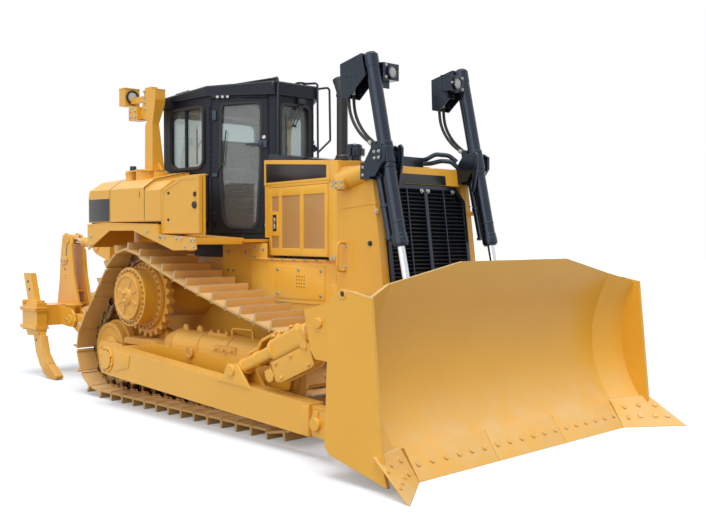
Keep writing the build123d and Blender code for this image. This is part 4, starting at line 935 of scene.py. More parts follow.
# %% Blade pins, edge ribs and lifting eyes
arm_y, lift_y, lift_eye_x, lift_eye_z = 1.392, 0.59, 2.7, 0.65
blade_pins = Bench(chamfer=0.004)
blade_pins.bar((lift_eye_x, lift_y - 0.118, lift_eye_z), (lift_eye_x, lift_y + 0.118, lift_eye_z), 0.038)
for y in (lift_y - 0.127, lift_y + 0.115):
    blade_pins.disc((lift_eye_x, y, lift_eye_z), LEFT, 0.056, 0.012, 24)
for x, z, reach, radius in ((2.475, 0.294, 0.150, 0.052), (2.48, 1.06, 0.118, 0.040)):
    for way in (-1, 1):
        y = arm_y + way * (reach - 0.038)
        blade_pins.knob((x, y, z), (0, way, 0), radius, 0.03, radius - 0.006, 0.036, 28)
        foot, head = z + radius - 0.01, z + radius + 0.05
        blade_pins.plate([(x - 0.02, foot), (x + 0.02, foot), (x + 0.03, head), (x - 0.03, head)], "y",
                         *sorted((y, y + way * 0.014)))
blade_pins.copy_mirrored()
blade_pins.finish("blade_pins", "blade")
eyes = Bench(chamfer=0.003)
for side in (-1, 1):
    eyes.turned((3.04, side * 1.768, 1.315), (0, side, 0),
                [(0, 0.020), (0, 0.036), (0.004, 0.036), (0.006, 0.032), (0.006, 0.024), (0.003, 0.020)],
                24, hollow=True)
    eyes.block((2.885, 2.915), (side * 1.70, side * 1.742), (0.30, 1.20), 0.006)
eyes.finish("blade_eyes", "blade")
# painted shade: black discs fill the eyes' bores
dots = Bench(chamfer=0)
for side in (-1, 1):
    dots.disc((3.04, side * 1.7675, 1.315), (0, side, 0), 0.024, 0.002, 20)
dots.finish("blade_eye_holes", "blade", black_paint)
print("blade fitted")

# %% [markdown]
# ## Push arms and tilt cylinders
# Each push arm is a welded box that turns on a trunnion at its rear and holds the blade
# at its front. Above it, a short tilt cylinder in a guard leans from the arm to the top
# of the blade. Flanges, pins, cap rings and guard bolts are what the eye finds here.
# %% Arms
pivot_x, pivot_z, brace_foot_x, brace_foot_z = -0.75, 0.48, 1.36, 0.585
pivot_bolts = round_spots(pivot_x, 1.4785, pivot_z, 0.115, (0.4, 1.2, 1.9, 2.7, 3.6, 4.4, 5.1, 5.9))
for name, side in SIDES:
    arm = Bench(chamfer=0.004)
    outer = (1.4665, 1.4745)
    arm.turned((pivot_x, 1.4665, pivot_z), LEFT,
               [(0, 0.128), (0.009, 0.128), (0.012, 0.124), (0.012, 0.102), (0, 0.100)], 40, hollow=True)
    arm.plate([(-0.60, 0.372), (-0.323, 0.436), (-0.300, 0.560), (-0.60, 0.588)], "y", *outer)
    arm.plate([(2.25, 0.190), (2.344, 0.185), (2.344, 0.408), (2.25, 0.402)], "y", *outer)
    for near, far in ((1.306, 1.325), (1.459, 1.478)):
        arm.plate([(1.15, 0.481), (1.62, 0.455), (1.57, 0.505), (1.44, 0.640), (1.30, 0.640),
                   (1.24, 0.520)], "y", near, far)
    for y in (1.290, 1.478):
        arm.knob((brace_foot_x, y, brace_foot_z), LEFT, 0.048, 0.012, 0.044, 0.016, 28)
    if side < 0:
        arm.mirror()
    arm.finish(f"arm_flanges_{name}", f"push_arm_{name}")
    bolts(f"arm_bolts_{name}", f"push_arm_{name}", pivot_bolts if side > 0 else mirrored(pivot_bolts),
          0.026, 0.012)
print("arms fitted")

# %% Tilt cylinders
brace_low, brace_high = Vector((brace_foot_x, 0, brace_foot_z)), Vector((2.48, 0, 1.06))
brace_way = (brace_high - brace_low).normalized()
brace_up = Vector((-brace_way.z, 0, brace_way.x))
for name, side in SIDES:
    y = side * arm_y
    dress = Bench(chamfer=0.005)

    def on_brace(distance, rise=0.0, across=0.0):
        return brace_low + brace_way * distance + brace_up * rise + Vector((0, y + across, 0))

    for start, length, radius in ((0.100, 0.028, 0.074), (0.290, 0.024, 0.070), (0.532, 0.030, 0.092)):
        dress.disc(on_brace(start), brace_way, radius, length, 32, 0.003)
    dress.turned(on_brace(0.984), brace_way, [(0, 0.036), (0, 0.082), (0.014, 0.082), (0.020, 0.074),
                                              (0.020, 0.036)], 36, hollow=True)
    guard_line = [(0.50, -0.090), (1.00, -0.090), (1.00, -0.262), (0.96, -0.276), (0.56, -0.276),
                  (0.50, -0.250)]
    for across in (-0.060, 0.052):
        corners = [on_brace(d, r, 0) for d, r in guard_line]
        dress.plate([(c.x, c.z) for c in corners], "y", y + across, y + across + 0.008, 0.003)
    for d, r in ((0.62, 0.075), (0.86, 0.075)):
        dress.knob(on_brace(d, r), brace_up, 0.030, 0.026, 0.022, 0.034, 24)
    lug = [on_brace(d, r) for d, r in ((0.40, -0.13), (0.48, -0.13), (0.50, -0.20), (0.47, -0.235),
                                       (0.42, -0.235), (0.39, -0.20))]
    dress.plate([(c.x, c.z) for c in lug], "y", y + side * 0.052, y + side * 0.066)
    dress.finish(f"tilt_dressing_{name}", f"tilt_barrel_{name}")
    guard_bolts = [(on_brace(d, r, side * 0.060), (0, side, 0))
                   for d, r in ((0.56, -0.115), (0.76, -0.115), (0.96, -0.115), (0.58, -0.245),
                                (0.94, -0.245))]
    guard_bolts += [(on_brace(d, 0.094, a), brace_up) for d in (0.60, 0.72, 0.84) for a in (-0.045, 0.045)]
    bolts(f"tilt_bolts_{name}", f"tilt_barrel_{name}", guard_bolts, 0.034, 0.016)
    # the left pipe runs lower, to pass below an open engine door with the blade up
    route = [(0.62, 0.07), (0.62, 0.135), (0.36, 0.135), (0.30, 0.09), (0.16, 0.09)]
    if side > 0:
        route = [(0.56, 0.068), (0.16, 0.068)]
    pipe = [on_brace(distance, rise, -side * 0.02) for distance, rise in route]
    tubes(f"tilt_pipe_{name}", f"tilt_barrel_{name}", [pipe], 0.014, 0.03)
print("tilt cylinders dressed")

# %% [markdown]
# ## Blade lift cylinders
# Two long cylinders hang in yokes on the radiator guard and lift the blade. Each barrel
# carries a folded plate over its top, a work lamp, a feed tube down its side and two
# hoses. Gloss black paint on a long round barrel shows the studio as one narrow streak.
# %% Barrels
trunnion_x, trunnion_z = 2.317, 2.386
trunnion, rod_eye = Vector((trunnion_x, 0, trunnion_z)), Vector((lift_eye_x, 0, lift_eye_z))
lift_way = (rod_eye - trunnion).normalized()
lift_back = Vector((lift_way.z, 0, -lift_way.x))
lift_top = trunnion - lift_way * 0.87
for name, side in SIDES:
    y, body = side * lift_y, f"lift_barrel_{name}"

    def on_lift(distance, back=0.0, across=0.0):
        return trunnion + lift_way * distance + lift_back * back + Vector((0, y + across, 0))

    dress = Bench(chamfer=0.003)
    # bands along the barrel, the gland and the top cap
    for start, length, radius in ((-0.872, 0.110, 0.0635), (-0.110, 0.030, 0.068), (0.080, 0.030, 0.068),
                                  (0.560, 0.016, 0.0635), (0.700, 0.056, 0.0685)):
        dress.turned(on_lift(start), lift_way, [(0, 0.059), (0, radius - 0.002), (0.003, radius),
                                                (length - 0.003, radius), (length, radius - 0.002),
                                                (length, 0.059)], 40, hollow=True)
    dress.turned(on_lift(0.756), lift_way, [(0, 0.0365), (0, 0.060), (0.012, 0.060), (0.018, 0.052),
                                            (0.018, 0.0365)], 36, hollow=True)
    dress.turned(on_lift(-0.890), lift_way, [(0, 0), (0, 0.045), (0.018, 0.060), (0.018, 0)], 36)
    # the feed tube down the barrel, held by three clamps
    dress.bar(on_lift(0.10, 0.105, side * 0.010), on_lift(0.700, 0.098, side * 0.010), 0.033)
    for at in (0.14, 0.40, 0.675):
        dress.disc(on_lift(at, 0.100, side * 0.010), lift_way, 0.040, 0.022, 28)
        middle = on_lift(at + 0.011, 0.062, side * 0.005)
        dress.block((middle.x - 0.03, middle.x + 0.015), (middle.y - 0.022, middle.y + 0.022),
                    (middle.z - 0.012, middle.z + 0.012))
    # the folded plate over the lamp, and the lamp's rim
    box_low, box_high = lift_top + Vector((-0.022, 0, -0.202)), lift_top + Vector((0.092, 0, -0.058))
    width = sorted((y - side * 0.062, y - side * 0.252))
    dress.block((box_low.x - 0.012, box_high.x - 0.05), width, (box_high.z, box_high.z + 0.006))
    dress.block((box_low.x - 0.012, box_low.x), width, (box_low.z - 0.05, box_high.z + 0.006))
    lamp_y = y - side * 0.165
    dress.turned((box_high.x, lamp_y, lift_top.z - 0.133), FORWARD,
                 [(0, 0.050), (0, 0.062), (0.014, 0.062), (0.018, 0.056), (0.018, 0.050), (0.002, 0.047)],
                 32)
    dress.finish(f"lift_fittings_{name}", body, black_paint)
    bowl = Bench(chamfer=0)
    bowl.turned((box_high.x + 0.0005, lamp_y, lift_top.z - 0.133), FORWARD,
                [(0, 0), (0, 0.050), (0.006, 0.049), (0.011, 0.036), (0.013, 0)], 28)
    bowl.finish(f"lift_lamp_{name}", body, lens)
    rivets = [((lift_top.x + dx, y + side * 0.0745, lift_top.z + dz), (0, side, 0))
              for dx, dz in ((-0.20, -0.055), (-0.13, -0.030), (-0.22, -0.165), (-0.165, -0.160),
                             (-0.10, -0.165), (-0.18, -0.230))]
    bolts(f"lift_rivets_{name}", body, rivets, 0.016, 0.004, rubber, corners=10)
    bright = [((box_high.x, y - side * dy, lift_top.z + dz), FORWARD)
              for dy, dz in ((0.090, -0.180), (0.092, -0.080), (0.236, -0.130))]
    bolts(f"lift_lamp_bolts_{name}", body, bright, 0.020, 0.010, zinc)
    feed = [[(lift_top.x - 0.236, y + across, lift_top.z - drop) for drop in (0.05, 0.262)]
            for across in (-0.03, 0.03)]
    tubes(f"lift_feed_{name}", body, feed, 0.012, 0.02, zinc)
print("lift barrels dressed")

# %% [markdown]
# The four hoses hang from the feed tubes in a slack curve and end in ports above the
# trunnions. Each is one smooth NURBS line given a round section. Crimped steel sleeves
# hold both ends.
# %% Hoses
hose_diameter = 0.028
hose_line = [(1.8936, 2.9856), (1.8896, 2.8456), (1.9396, 2.6956), (2.0696, 2.5456), (2.186, 2.482)]
for name, side in SIDES:
    for row, y in (("inner", lift_y - 0.03), ("outer", lift_y + 0.03)):
        places = [Vector((x, side * y, z)) for x, z in hose_line]
        curve = bpy.data.curves.new(f"lift_hose_{name}_{row}", "CURVE")
        curve.dimensions = "3D"
        run = curve.splines.new("NURBS")
        run.points.add(len(hose_line) - 1)
        for point, place in zip(run.points, places):
            point.co = (*place, 1)
        run.order_u = 3
        run.use_endpoint_u = True
        run.resolution_u = 12
        curve.bevel_depth = hose_diameter / 2
        curve.bevel_resolution = 4
        curve.use_fill_caps = True
        curve.materials.append(rubber)
        hose = bpy.data.objects.new(curve.name, curve)
        scene.collection.objects.link(hose)
        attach(hose, f"lift_barrel_{name}")
        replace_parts(hose, f"lift_hoses_{name}")
        crimp = Bench(chamfer=0)
        for end, following in ((places[0], places[1]), (places[-1], places[-2])):
            way = (following - end).normalized()
            crimp.turned(end - way * 0.006, way, [(0, 0.0145), (0, 0.020), (0.020, 0.020), (0.022, 0.0175),
                                                  (0.030, 0.0175), (0.032, 0.0190), (0.058, 0.0185),
                                                  (0.062, 0.0155)], 20)
        sleeve = crimp.finish(f"hose_crimps_{name}_{row}", f"lift_barrel_{name}", zinc)
print("hoses", len(SIDES) * 2)

# %% Yoke cheeks, cross pipes and trunnion caps
yokes = Bench(chamfer=0.004)
# a stop plate and pin caps on each yoke, and the hose block between them
yokes.plate([(2.345, 2.120), (2.372, 2.115), (2.412, 2.330), (2.412, 2.450), (2.390, 2.478),
             (2.366, 2.470)], "y", 0.482, 0.505)
for y in (0.470, 0.7025):
    yokes.disc((trunnion_x, y, trunnion_z), LEFT, 0.056, 0.007, 32)
yokes.plate([(2.175, 2.205), (2.245, 2.205), (2.235, 2.262), (2.20, 2.262)], "y", 0.49, 0.69)
yokes.copy_mirrored()
yokes.block((1.955, 2.055), (-0.42, 0.16), (2.322, 2.425), 0.012)
yokes.block((2.02, 2.10), (-0.50, -0.40), (2.330, 2.400), 0.008)
yokes.finish("yoke_cheeks", "tractor", black_paint)
upper_pipe = [(2.0, 0.14, 2.40), (2.0, 0.26, 2.42), (2.02, 0.36, 2.47), (2.10, 0.455, 2.46),
              (2.16, 0.50, 2.40)]
lower_pipe = [(2.03, 0.14, 2.37), (2.03, 0.28, 2.38), (2.06, 0.40, 2.41), (2.13, 0.455, 2.40),
              (2.18, 0.50, 2.34)]
tubes("cross_pipes", "tractor", [upper_pipe, lower_pipe], 0.021, 0.08, black_paint)
yoke_bolts = round_spots(trunnion_x, 0.7095, trunnion_z, 0.036, (0.8, 2.4, 4.0, 5.5))
yoke_bolts += side_spots(0.7022, ((2.150, 2.225), (2.150, 2.290)))
bolts("yoke_bolts", "tractor", both_sides(yoke_bolts), 0.020, 0.010, zinc)
print("yokes done")

# %% [markdown]
# ## Radiator guard and grille
# The grille is a stack of leaning slats behind a black frame, so air gets in and stones
# don't. One slat is made for each bank and a small tree stacks it, at an exact pitch.
# %% A tree that stacks copies
stack_tree, size, result = new_tree("stack", [("Count", "Int", 14), ("Step", "Vector", (0, 0, 0.05)),
                                              ("Part", "Object", None)])
rows = add_node(stack_tree, "GeometryNodeMeshLine", {"Count": size["Count"], "Offset": size["Step"]},
                mode="OFFSET")
part = add_node(stack_tree, "GeometryNodeObjectInfo", {"Object": size["Part"]})
placed = add_node(stack_tree, "GeometryNodeInstanceOnPoints",
                  {"Points": rows.outputs[0], "Instance": part.outputs[4]})
end_tree(stack_tree, placed.outputs[0], size["Finish"], result)


def stack(name, body, bench, count, step, finish):
    """Copies of a bench's piece at an even step."""
    mesh = bpy.data.meshes.new("part")
    bench.mesh.to_mesh(mesh)
    part = bpy.data.objects.new("part", mesh)
    made = grow(stack_tree, bpy.data.meshes.new("empty"),
                {"Count": count, "Step": step, "Part": part, "Finish": finish})
    bpy.data.objects.remove(part)
    return settle(made, name, body, finish)


guard_foot, guard_head = Vector((2.338, 0, 1.064)), Vector((2.175, 0, 2.320))
grille_place = leaning(guard_foot, LEFT, guard_head - guard_foot)
grille_up = (guard_head - guard_foot).normalized()
slat_step = tuple(grille_up * 0.0347)
for half, side in SIDES:
    for rows, count, first, reach in (("lower", 26, 0.078, 0.490), ("upper", 3, 0.980, 0.400)):
        slat = Bench(chamfer=0.0, place=grille_place)
        slat.plate([(first, -0.016), (first + 0.005, -0.019), (first + 0.023, 0.012),
                    (first + 0.018, 0.015)], "x", *span(side, 0.020, reach))
        laid = stack(f"grille_slats_{rows}_{half}", "tractor", slat, count, slat_step, grille_paint)
        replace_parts(laid, "grille")
grille_edge = [(-0.530, 0.05), (0.530, 0.05), (0.530, 0.976), (0.410, 1.104), (-0.410, 1.104),
               (-0.530, 0.976)]
core = Bench(chamfer=0.0, place=grille_place)
core.plate(grille_edge, "z", -0.080, -0.038)
core.finish("radiator_core", "tractor", rubber, slot="black_paint")
bars = Bench(chamfer=0.003, place=grille_place)
for left, right, low, high in ((-0.020, 0.020, 0.06, 1.09), (0.232, 0.246, 0.06, 1.09),
                               (-0.246, -0.232, 0.06, 1.09)):
    bars.block((left, right), (low, high), (-0.040, 0.022))
bars.ring(grille_edge, [(-0.492, 0.075), (0.492, 0.075), (0.492, 0.966), (0.396, 1.072), (-0.396, 1.072),
                        (-0.492, 0.966)], "z", -0.038, 0.021)
bars.finish("grille_frame", "tractor", black_paint)
plaque = Bench(chamfer=0.003, place=grille_place)
plaque.block((-0.36, 0.30), (1.120, 1.205), (0.0, 0.010))
plaque.finish("guard_band", "tractor", stripe)


def on_grille(across, up, out=0.0):
    return tuple(grille_place @ Vector((across, up, out)))


grille_out = tuple(grille_place.to_3x3() @ Vector(UP))
frame_bolts = [(on_grille(across, 1.055, 0.021), grille_out) for across in (-0.054, 0.028, 0.364, -0.364)]
bolts("grille_bolts", "tractor", frame_bolts, 0.030, 0.014, zinc)
print("grille done")

# %% Guard sides
guard = Bench(chamfer=0.004)
# strips down the front corners, along the side seams and over the top
guard.plate([(2.150, 2.315), (2.176, 2.315), (2.339, 1.066), (2.310, 1.066)], "y", 0.545, 0.6255)
guard.plate([(1.80, 1.950), (2.235, 1.988), (2.234, 1.996), (1.80, 1.958)], "y", 0.616, 0.625, 0.002)
guard.block((1.748, 2.170), (0.20, 0.545), (2.316, 2.326))
# bolted pads on both sides, and a round cover below the head
guard.block((1.815, 1.935), (0.690, 0.724), (2.118, 2.205))
guard.block((2.222, 2.260), (0.60, 0.632), (1.905, 1.945))
guard.knob((1.796, 0.642, 2.186), (-0.3, 0.034, -0.064), 0.079, 0.010, 0.072, 0.014, 36)
guard.copy_mirrored()
guard.block((1.745, 2.172), (-0.545, 0.545), (2.317, 2.323))
guard.finish("guard_flanges")
guard_bolts = side_spots(0.724, ((1.838, 2.182), (1.912, 2.182), (1.838, 2.138), (1.912, 2.138)))
guard_bolts += side_spots(0.621, ((1.85, 1.63), (1.85, 1.45))) + side_spots(0.632, ((2.240, 1.925),))
bolts("guard_bolts", "tractor", both_sides(guard_bolts), 0.026, 0.012, zinc)
bolts("guard_plugs", "tractor", both_sides(side_spots(0.620, ((2.157, 1.655),))), 0.036, 0.016,
      black_paint, corners=16)
handle_line = [(0.61, 1.655), (0.715, 1.668), (0.715, 1.410), (0.61, 1.425)]
tubes("guard_handles", "tractor", [[(1.85, side * y, z) for y, z in handle_line] for side in (-1, 1)],
      0.013, 0.045)
print("guard done")

# %% [markdown]
# ## Hood, engine doors and their perforated screens
# The hood tapers towards the cab, so everything on its sides is drawn flat on a leaning
# place and lands on the taper. The screens are steel sheet with thousands of small
# holes: as geometry they would weigh more than the rest of the machine, so the holes
# are darker dots worked out in the material, a painted shade for the space behind.
# %% The hole pattern
holes_per_metre = 105.0
perforation, given, result = new_group("perforation", "ShaderNodeTree",
                                       [("Place", "Vector", None), ("Per metre", "Float", holes_per_metre),
                                        ("Hole size", "Float", 0.36)], [("Mask", "Float")])
parts = add_node(perforation, "ShaderNodeSeparateXYZ", {0: given.outputs["Place"]})
flat = add_node(perforation, "ShaderNodeCombineXYZ", {0: parts.outputs["X"], 1: parts.outputs["Z"]})
cells = add_node(perforation, "ShaderNodeTexVoronoi",
                 {"Vector": flat.outputs[0], "Scale": given.outputs["Per metre"], "Randomness": 0.0},
                 voronoi_dimensions="2D")
hole = add_node(perforation, "ShaderNodeMath",
                {0: cells.outputs["Distance"], 1: given.outputs["Hole size"]}, operation="LESS_THAN")
perforation.links.new(hole.outputs[0], result.inputs["Mask"])
tree = yellow_mesh.node_tree
paint_socket = tree.nodes["Principled BSDF"].inputs["Base Color"]
holes = place_group(tree, perforation, {"Place": add_node(tree, "ShaderNodeTexCoord").outputs["Object"]})
# painted shade: each hole is darkened to the brown of the shaded space behind the screen
sheet_with_painted_hole_shade = mix_colours(tree, holes.outputs["Mask"], paint_socket.links[0].from_socket,
                           srgb(146, 100, 58))
tree.links.new(sheet_with_painted_hole_shade, paint_socket)
print("screen holes", holes_per_metre, "per metre")


# %% Engine doors
hood_front, hood_front_half, hood_rear, hood_rear_half = 1.74, 0.595, 0.462, 0.400


def hood_half(x):
    """Half the hood's width, which falls evenly from its front to its rear."""
    share = (hood_front - x) / (hood_front - hood_rear)
    return hood_front_half + share * (hood_rear_half - hood_front_half)


def hood_place(side_shift=0.002):
    """Right side of the hood: x runs forwards from the door's rear edge and y runs up."""
    rear, front = (Vector((x, -hood_half(x) - side_shift, 0)) for x in (0.562, 1.590))
    return leaning(rear, front - rear, UP)


for name, side in SIDES:
    body = f"engine_door_{name}"
    frame_bench, screen, latch, dark = (Bench(chamfer=c, place=hood_place())
                                        for c in (0.003, 0.001, 0.002, 0.001))
    for left, right in ((0.004, 0.048), (0.186, 0.236), (0.566, 0.627), (0.984, 1.032)):
        frame_bench.block((left, right), (1.534, 2.181), (0.0, 0.012))
    for low, high in ((1.534, 1.602), (2.100, 2.181)):
        frame_bench.block((0.030, 1.010), (low, high), (0.0, 0.011))
    frame_bench.block((0.050, 0.184), (1.720, 1.954), (0.0, 0.016))
    for left, right in ((0.048, 0.186), (0.236, 0.566), (0.627, 0.984)):
        screen.block((left, right), (1.60, 2.102), (0.0, 0.004))
    # painted shade: a dark plate on the latch pad stands for the shade in the latch recess
    dark.block((0.082, 0.152), (1.765, 1.925), (0.014, 0.0175))
    for at in (1.872, 1.806):
        latch.knob((0.117, at, 0.016), UP, 0.024, 0.012, 0.018, 0.016, 24)
    latch.block((0.104, 0.130), (1.800, 1.880), (0.017, 0.026))
    for bench in (frame_bench, screen, latch, dark):
        if side > 0:
            bench.mirror()
    frame_bench.finish(f"engine_door_frame_{name}", body, hood_paint)
    screen.finish(f"engine_door_screen_{name}", body, yellow_mesh)
    latch.finish(f"engine_door_latch_{name}", body, zinc)
    dark.finish(f"engine_door_recess_{name}", body, rubber)
print("engine doors done")

# %% Hood stripes, columns and lower covers
stripe_frame, stripe_band = (Bench(chamfer=c, place=hood_place(0.0)) for c in (0.003, 0.002))
stripe_outer = [(-0.098, 2.216), (1.060, 2.216), (1.060, 2.385), (-0.098, 2.462)]
stripe_inner = [(-0.070, 2.238), (1.010, 2.238), (1.010, 2.352), (-0.070, 2.424)]
stripe_frame.ring(stripe_outer, stripe_inner, "z", 0.0, 0.010)
stripe_frame.block((0.002, 1.046), (2.187, 2.220), (-0.012, 0.006))
stripe_frame.block((1.062, 1.178), (2.196, 2.380), (0.0, 0.008))
stripe_frame.block((1.050, 1.178), (1.506, 2.190), (0.0, 0.008))
stripe_band.plate(stripe_inner, "z", 0.0, 0.004)
for bench in (stripe_frame, stripe_band):
    bench.copy_mirrored()
stripe_band.finish("hood_stripes", "tractor", stripe)
stripe_frame.finish("hood_side_frames", "tractor", hood_paint)
hood_top = Bench(chamfer=0.004)
hood_top.plate([(0.470, 2.467), (1.730, 2.382), (1.730, 2.390), (0.470, 2.475)], "y", -0.34, 0.34)
hood_top.plate([(1.060, 2.425), (1.560, 2.392), (1.560, 2.402), (1.060, 2.436)], "y", -0.24, 0.24)
hood_top.finish("hood_top_panels")
cowl = Bench(chamfer=0.010)
cowl.plate([(0.470, 2.472), (0.990, 2.436), (0.990, 2.462), (0.520, 2.528), (0.478, 2.530)], "y",
           -0.37, 0.37)
cowl.finish("cab_cowl", "tractor", black_paint)
covers = Bench(chamfer=0.003)
covers.block((0.746, 1.449), (0.488, 0.499), (1.131, 1.440))
covers.block((0.355, 0.600), (0.478, 0.489), (1.474, 1.650))
covers.block((1.575, 1.735), (0.528, 0.536), (1.060, 1.280))
covers.block((0.360, 1.735), (0.470, 0.500), (1.488, 1.504))
covers.copy_mirrored()
covers.finish("lower_covers", "tractor", hood_paint)
cover_bolts = side_spots(0.499, ((0.78, 1.401), (1.084, 1.40), (1.395, 1.396), (0.78, 1.17),
                                 (1.395, 1.17)))
cover_bolts += side_spots(0.489, ((0.41, 1.607), (0.41, 1.514), (0.546, 1.591)))
cover_bolts += [((x, hood_half(x) + 0.008, z), LEFT) for x in (1.650, 1.700) for z in (2.166, 1.530)]
cover_bolts += [((x, 0.500, 1.496), (0, 0.6, 0.8)) for x in (0.70, 0.86, 1.02, 1.18, 1.34, 1.50)]
bolts("hood_bolts", "tractor", both_sides(cover_bolts), 0.026, 0.012, zinc)
# painted shade: flat dark discs stand for the shade in the drain holes
drains = side_spots(0.499, [(1.06 + 0.035 * i, 1.245 + 0.032 * k) for i in range(4) for k in range(4)])
bolts("drain_holes", "tractor", both_sides(drains), 0.012, 0.0015, iron, corners=10)
print("hood done")

# %% Exhaust and air cleaner
pipe = Bench(chamfer=0)
pipe_x, pipe_y, cleaner_x, cleaner_y = 1.31, -0.15, 1.2, 0.11
# bands at the foot and the mouth of the pipe
pipe.turned((pipe_x, pipe_y, 3.02), UP, [(0, 0.053), (0, 0.057), (0.014, 0.058), (0.028, 0.057),
                                         (0.028, 0.053)], 36)
pipe.turned((pipe_x, pipe_y, 2.445), UP, [(0, 0.053), (0, 0.064), (0.02, 0.064), (0.034, 0.053)], 36)
tip, tip_way = Vector((1.255, pipe_y, 3.19)), Vector((-0.055, 0, 0.13)).normalized()
pipe.turned(tip - tip_way * 0.03, tip_way, [(0, 0.053), (0, 0.0545), (0.032, 0.0545), (0.032, 0.048),
                                            (0.018, 0.046)], 36)
pipe.finish("exhaust_bands", "tractor", soot)
mouth = Bench(chamfer=0)
# a black disc across the mouth stands for the soot and the painted shade inside the pipe
mouth.disc(tip, tip_way, 0.050, 0.0015, 28)
mouth.finish("exhaust_mouth", "tractor", rubber, slot="black_paint")
bowl = Bench(chamfer=0)
for z, radius in ((2.498, 0.106), (2.514, 0.108), (2.530, 0.108), (2.546, 0.106), (2.562, 0.082),
                  (2.576, 0.082)):
    bowl.turned((cleaner_x, cleaner_y, z), UP, [(0, radius - 0.004), (0.002, radius), (0.007, radius),
                                                (0.009, radius - 0.004)], 36)
bowl.turned((cleaner_x, cleaner_y, 2.590), UP,
            [(0, 0), (0, 0.074), (0.012, 0.066), (0.018, 0.02), (0.024, 0)], 36)
bowl.turned((cleaner_x, cleaner_y, 2.430), UP, [(0, 0.069), (0, 0.076), (0.018, 0.076), (0.018, 0.069)], 36)
bowl.finish("air_cleaner_ribs", "tractor", black_paint)
print("stack done")

# %% [markdown]
# ## Cab outside
# The cab is a dark box of bent tube and sheet with large panes set in rubber. The door
# panes have round corners and grow narrower towards the floor, so each door gets a skin
# with that hole in it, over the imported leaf. Seals, wipers, rails, a mirror bar and the
# door handles are thin things that catch the light and give the cab its scale.
# %% Outlines with round corners
def softened(points, radius, steps=5):
    """An outline whose corners are rounded by short curves."""
    made = []
    count = len(points)
    for i in range(count):
        before, here, after = (Vector(points[(i + k) % count]) for k in (-1, 0, 1))
        back, on = before - here, after - here
        first = here + back.normalized() * min(radius, back.length * 0.45)
        last = here + on.normalized() * min(radius, on.length * 0.45)
        for k in range(steps + 1):
            t = k / steps
            made.append(tuple(first * (1 - t) ** 2 + here * 2 * t * (1 - t) + last * t ** 2))
    return made


def grown(outline, amount):
    """An outline moved outwards by an amount, for a seal's outer line."""
    count = len(outline)
    area = sum(a[0] * b[1] - b[0] * a[1] for a, b in zip(outline, outline[1:] + outline[:1]))
    sign = 1 if area > 0 else -1
    made = []
    for i in range(count):
        run = Vector(outline[(i + 1) % count]) - Vector(outline[i - 1])
        run.normalize()
        made.append((outline[i][0] + sign * run.y * amount, outline[i][1] - sign * run.x * amount))
    return made


def boxed(outline, left, right, low, high):
    """The same number of points on a rectangle round the outline, each straight out from its centre."""
    middle = Vector(((left + right) / 2, (low + high) / 2))
    made = []
    for p in outline:
        way = Vector(p) - middle
        reach = min((right - middle.x if way.x > 0 else middle.x - left) / max(abs(way.x), 1e-6),
                    (high - middle.y if way.y > 0 else middle.y - low) / max(abs(way.y), 1e-6))
        made.append(tuple(middle + way * reach))
    return made


door_run = (0.57, 0.42, 0)
# right cab door: x runs forwards along the door from its rear pillar, and y runs up
door_place = leaning((-0.12, -0.67, 0), door_run, UP)


def behind(distance):
    """The door's x at a distance behind its front edge."""
    return hypot(*door_run) - distance


pane_line = [(behind(d), z) for d, z in ((0.245, 1.800), (0.196, 1.860), (0.159, 2.417), (0.150, 2.988),
                                         (0.171, 3.050), (0.549, 3.040), (0.560, 2.990), (0.574, 2.388),
                                         (0.541, 1.880), (0.492, 1.815))]
pane_line = softened(pane_line, 0.045)
print("pane outline", len(pane_line), "points")

# %% Cab doors
for name, side in SIDES:
    body = f"cab_door_{name}"
    skin, seal, lever, lock = (Bench(chamfer=c, place=door_place) for c in (0, 0, 0.004, 0.001))
    skin.ring(boxed(pane_line, behind(0.661), behind(0.076), 1.748, 3.092), pane_line, "z", 0.0005, 0.007)
    seal.ring(grown(pane_line, 0.016), grown(pane_line, -0.002), "z", 0.006, 0.013)
    seal.ring(grown(pane_line, 0.004), grown(pane_line, -0.012), "z", 0.002, 0.0065)
    # the lever with its two mounts, then three hinges and stops
    for rear, front, height, out in ((0.290, 0.150, (2.622, 2.648), (0.040, 0.062)),
                                     (0.170, 0.085, (2.598, 2.672), (0.006, 0.030)),
                                     (0.165, 0.130, (2.612, 2.656), (0.028, 0.062)),
                                     (0.655, 0.600, (2.310, 2.350), (0.006, 0.028)),
                                     (0.655, 0.610, (1.860, 1.960), (0.006, 0.026)),
                                     (0.655, 0.610, (2.880, 2.980), (0.006, 0.026))):
        lever.block((behind(rear), behind(front)), height, out)
    lock.turned((behind(0.120), 2.702, 0.006), UP,
                [(0, 0), (0, 0.022), (0.008, 0.021), (0.014, 0.014), (0.014, 0)], 20)
    for bench in (skin, seal, lever, lock):
        if side > 0:
            bench.mirror()
    skin.finish(f"door_skin_{name}", body, cab_paint, smooth=50)
    seal.finish(f"door_seal_{name}", body, rubber, smooth=50)
    lever.finish(f"door_lever_{name}", body, black_paint)
    lock.finish(f"door_lock_{name}", body, zinc)
    route = [door_place @ Vector((behind(d), z, 0.022))
             for d, z in ((0.509, 2.777), (0.528, 2.60), (0.542, 2.455), (0.625, 2.335))]
    tubes(f"door_strut_{name}", body, [[(p.x, -side * p.y, p.z) for p in route]], 0.007, 0.03, rubber)
print("cab doors done")

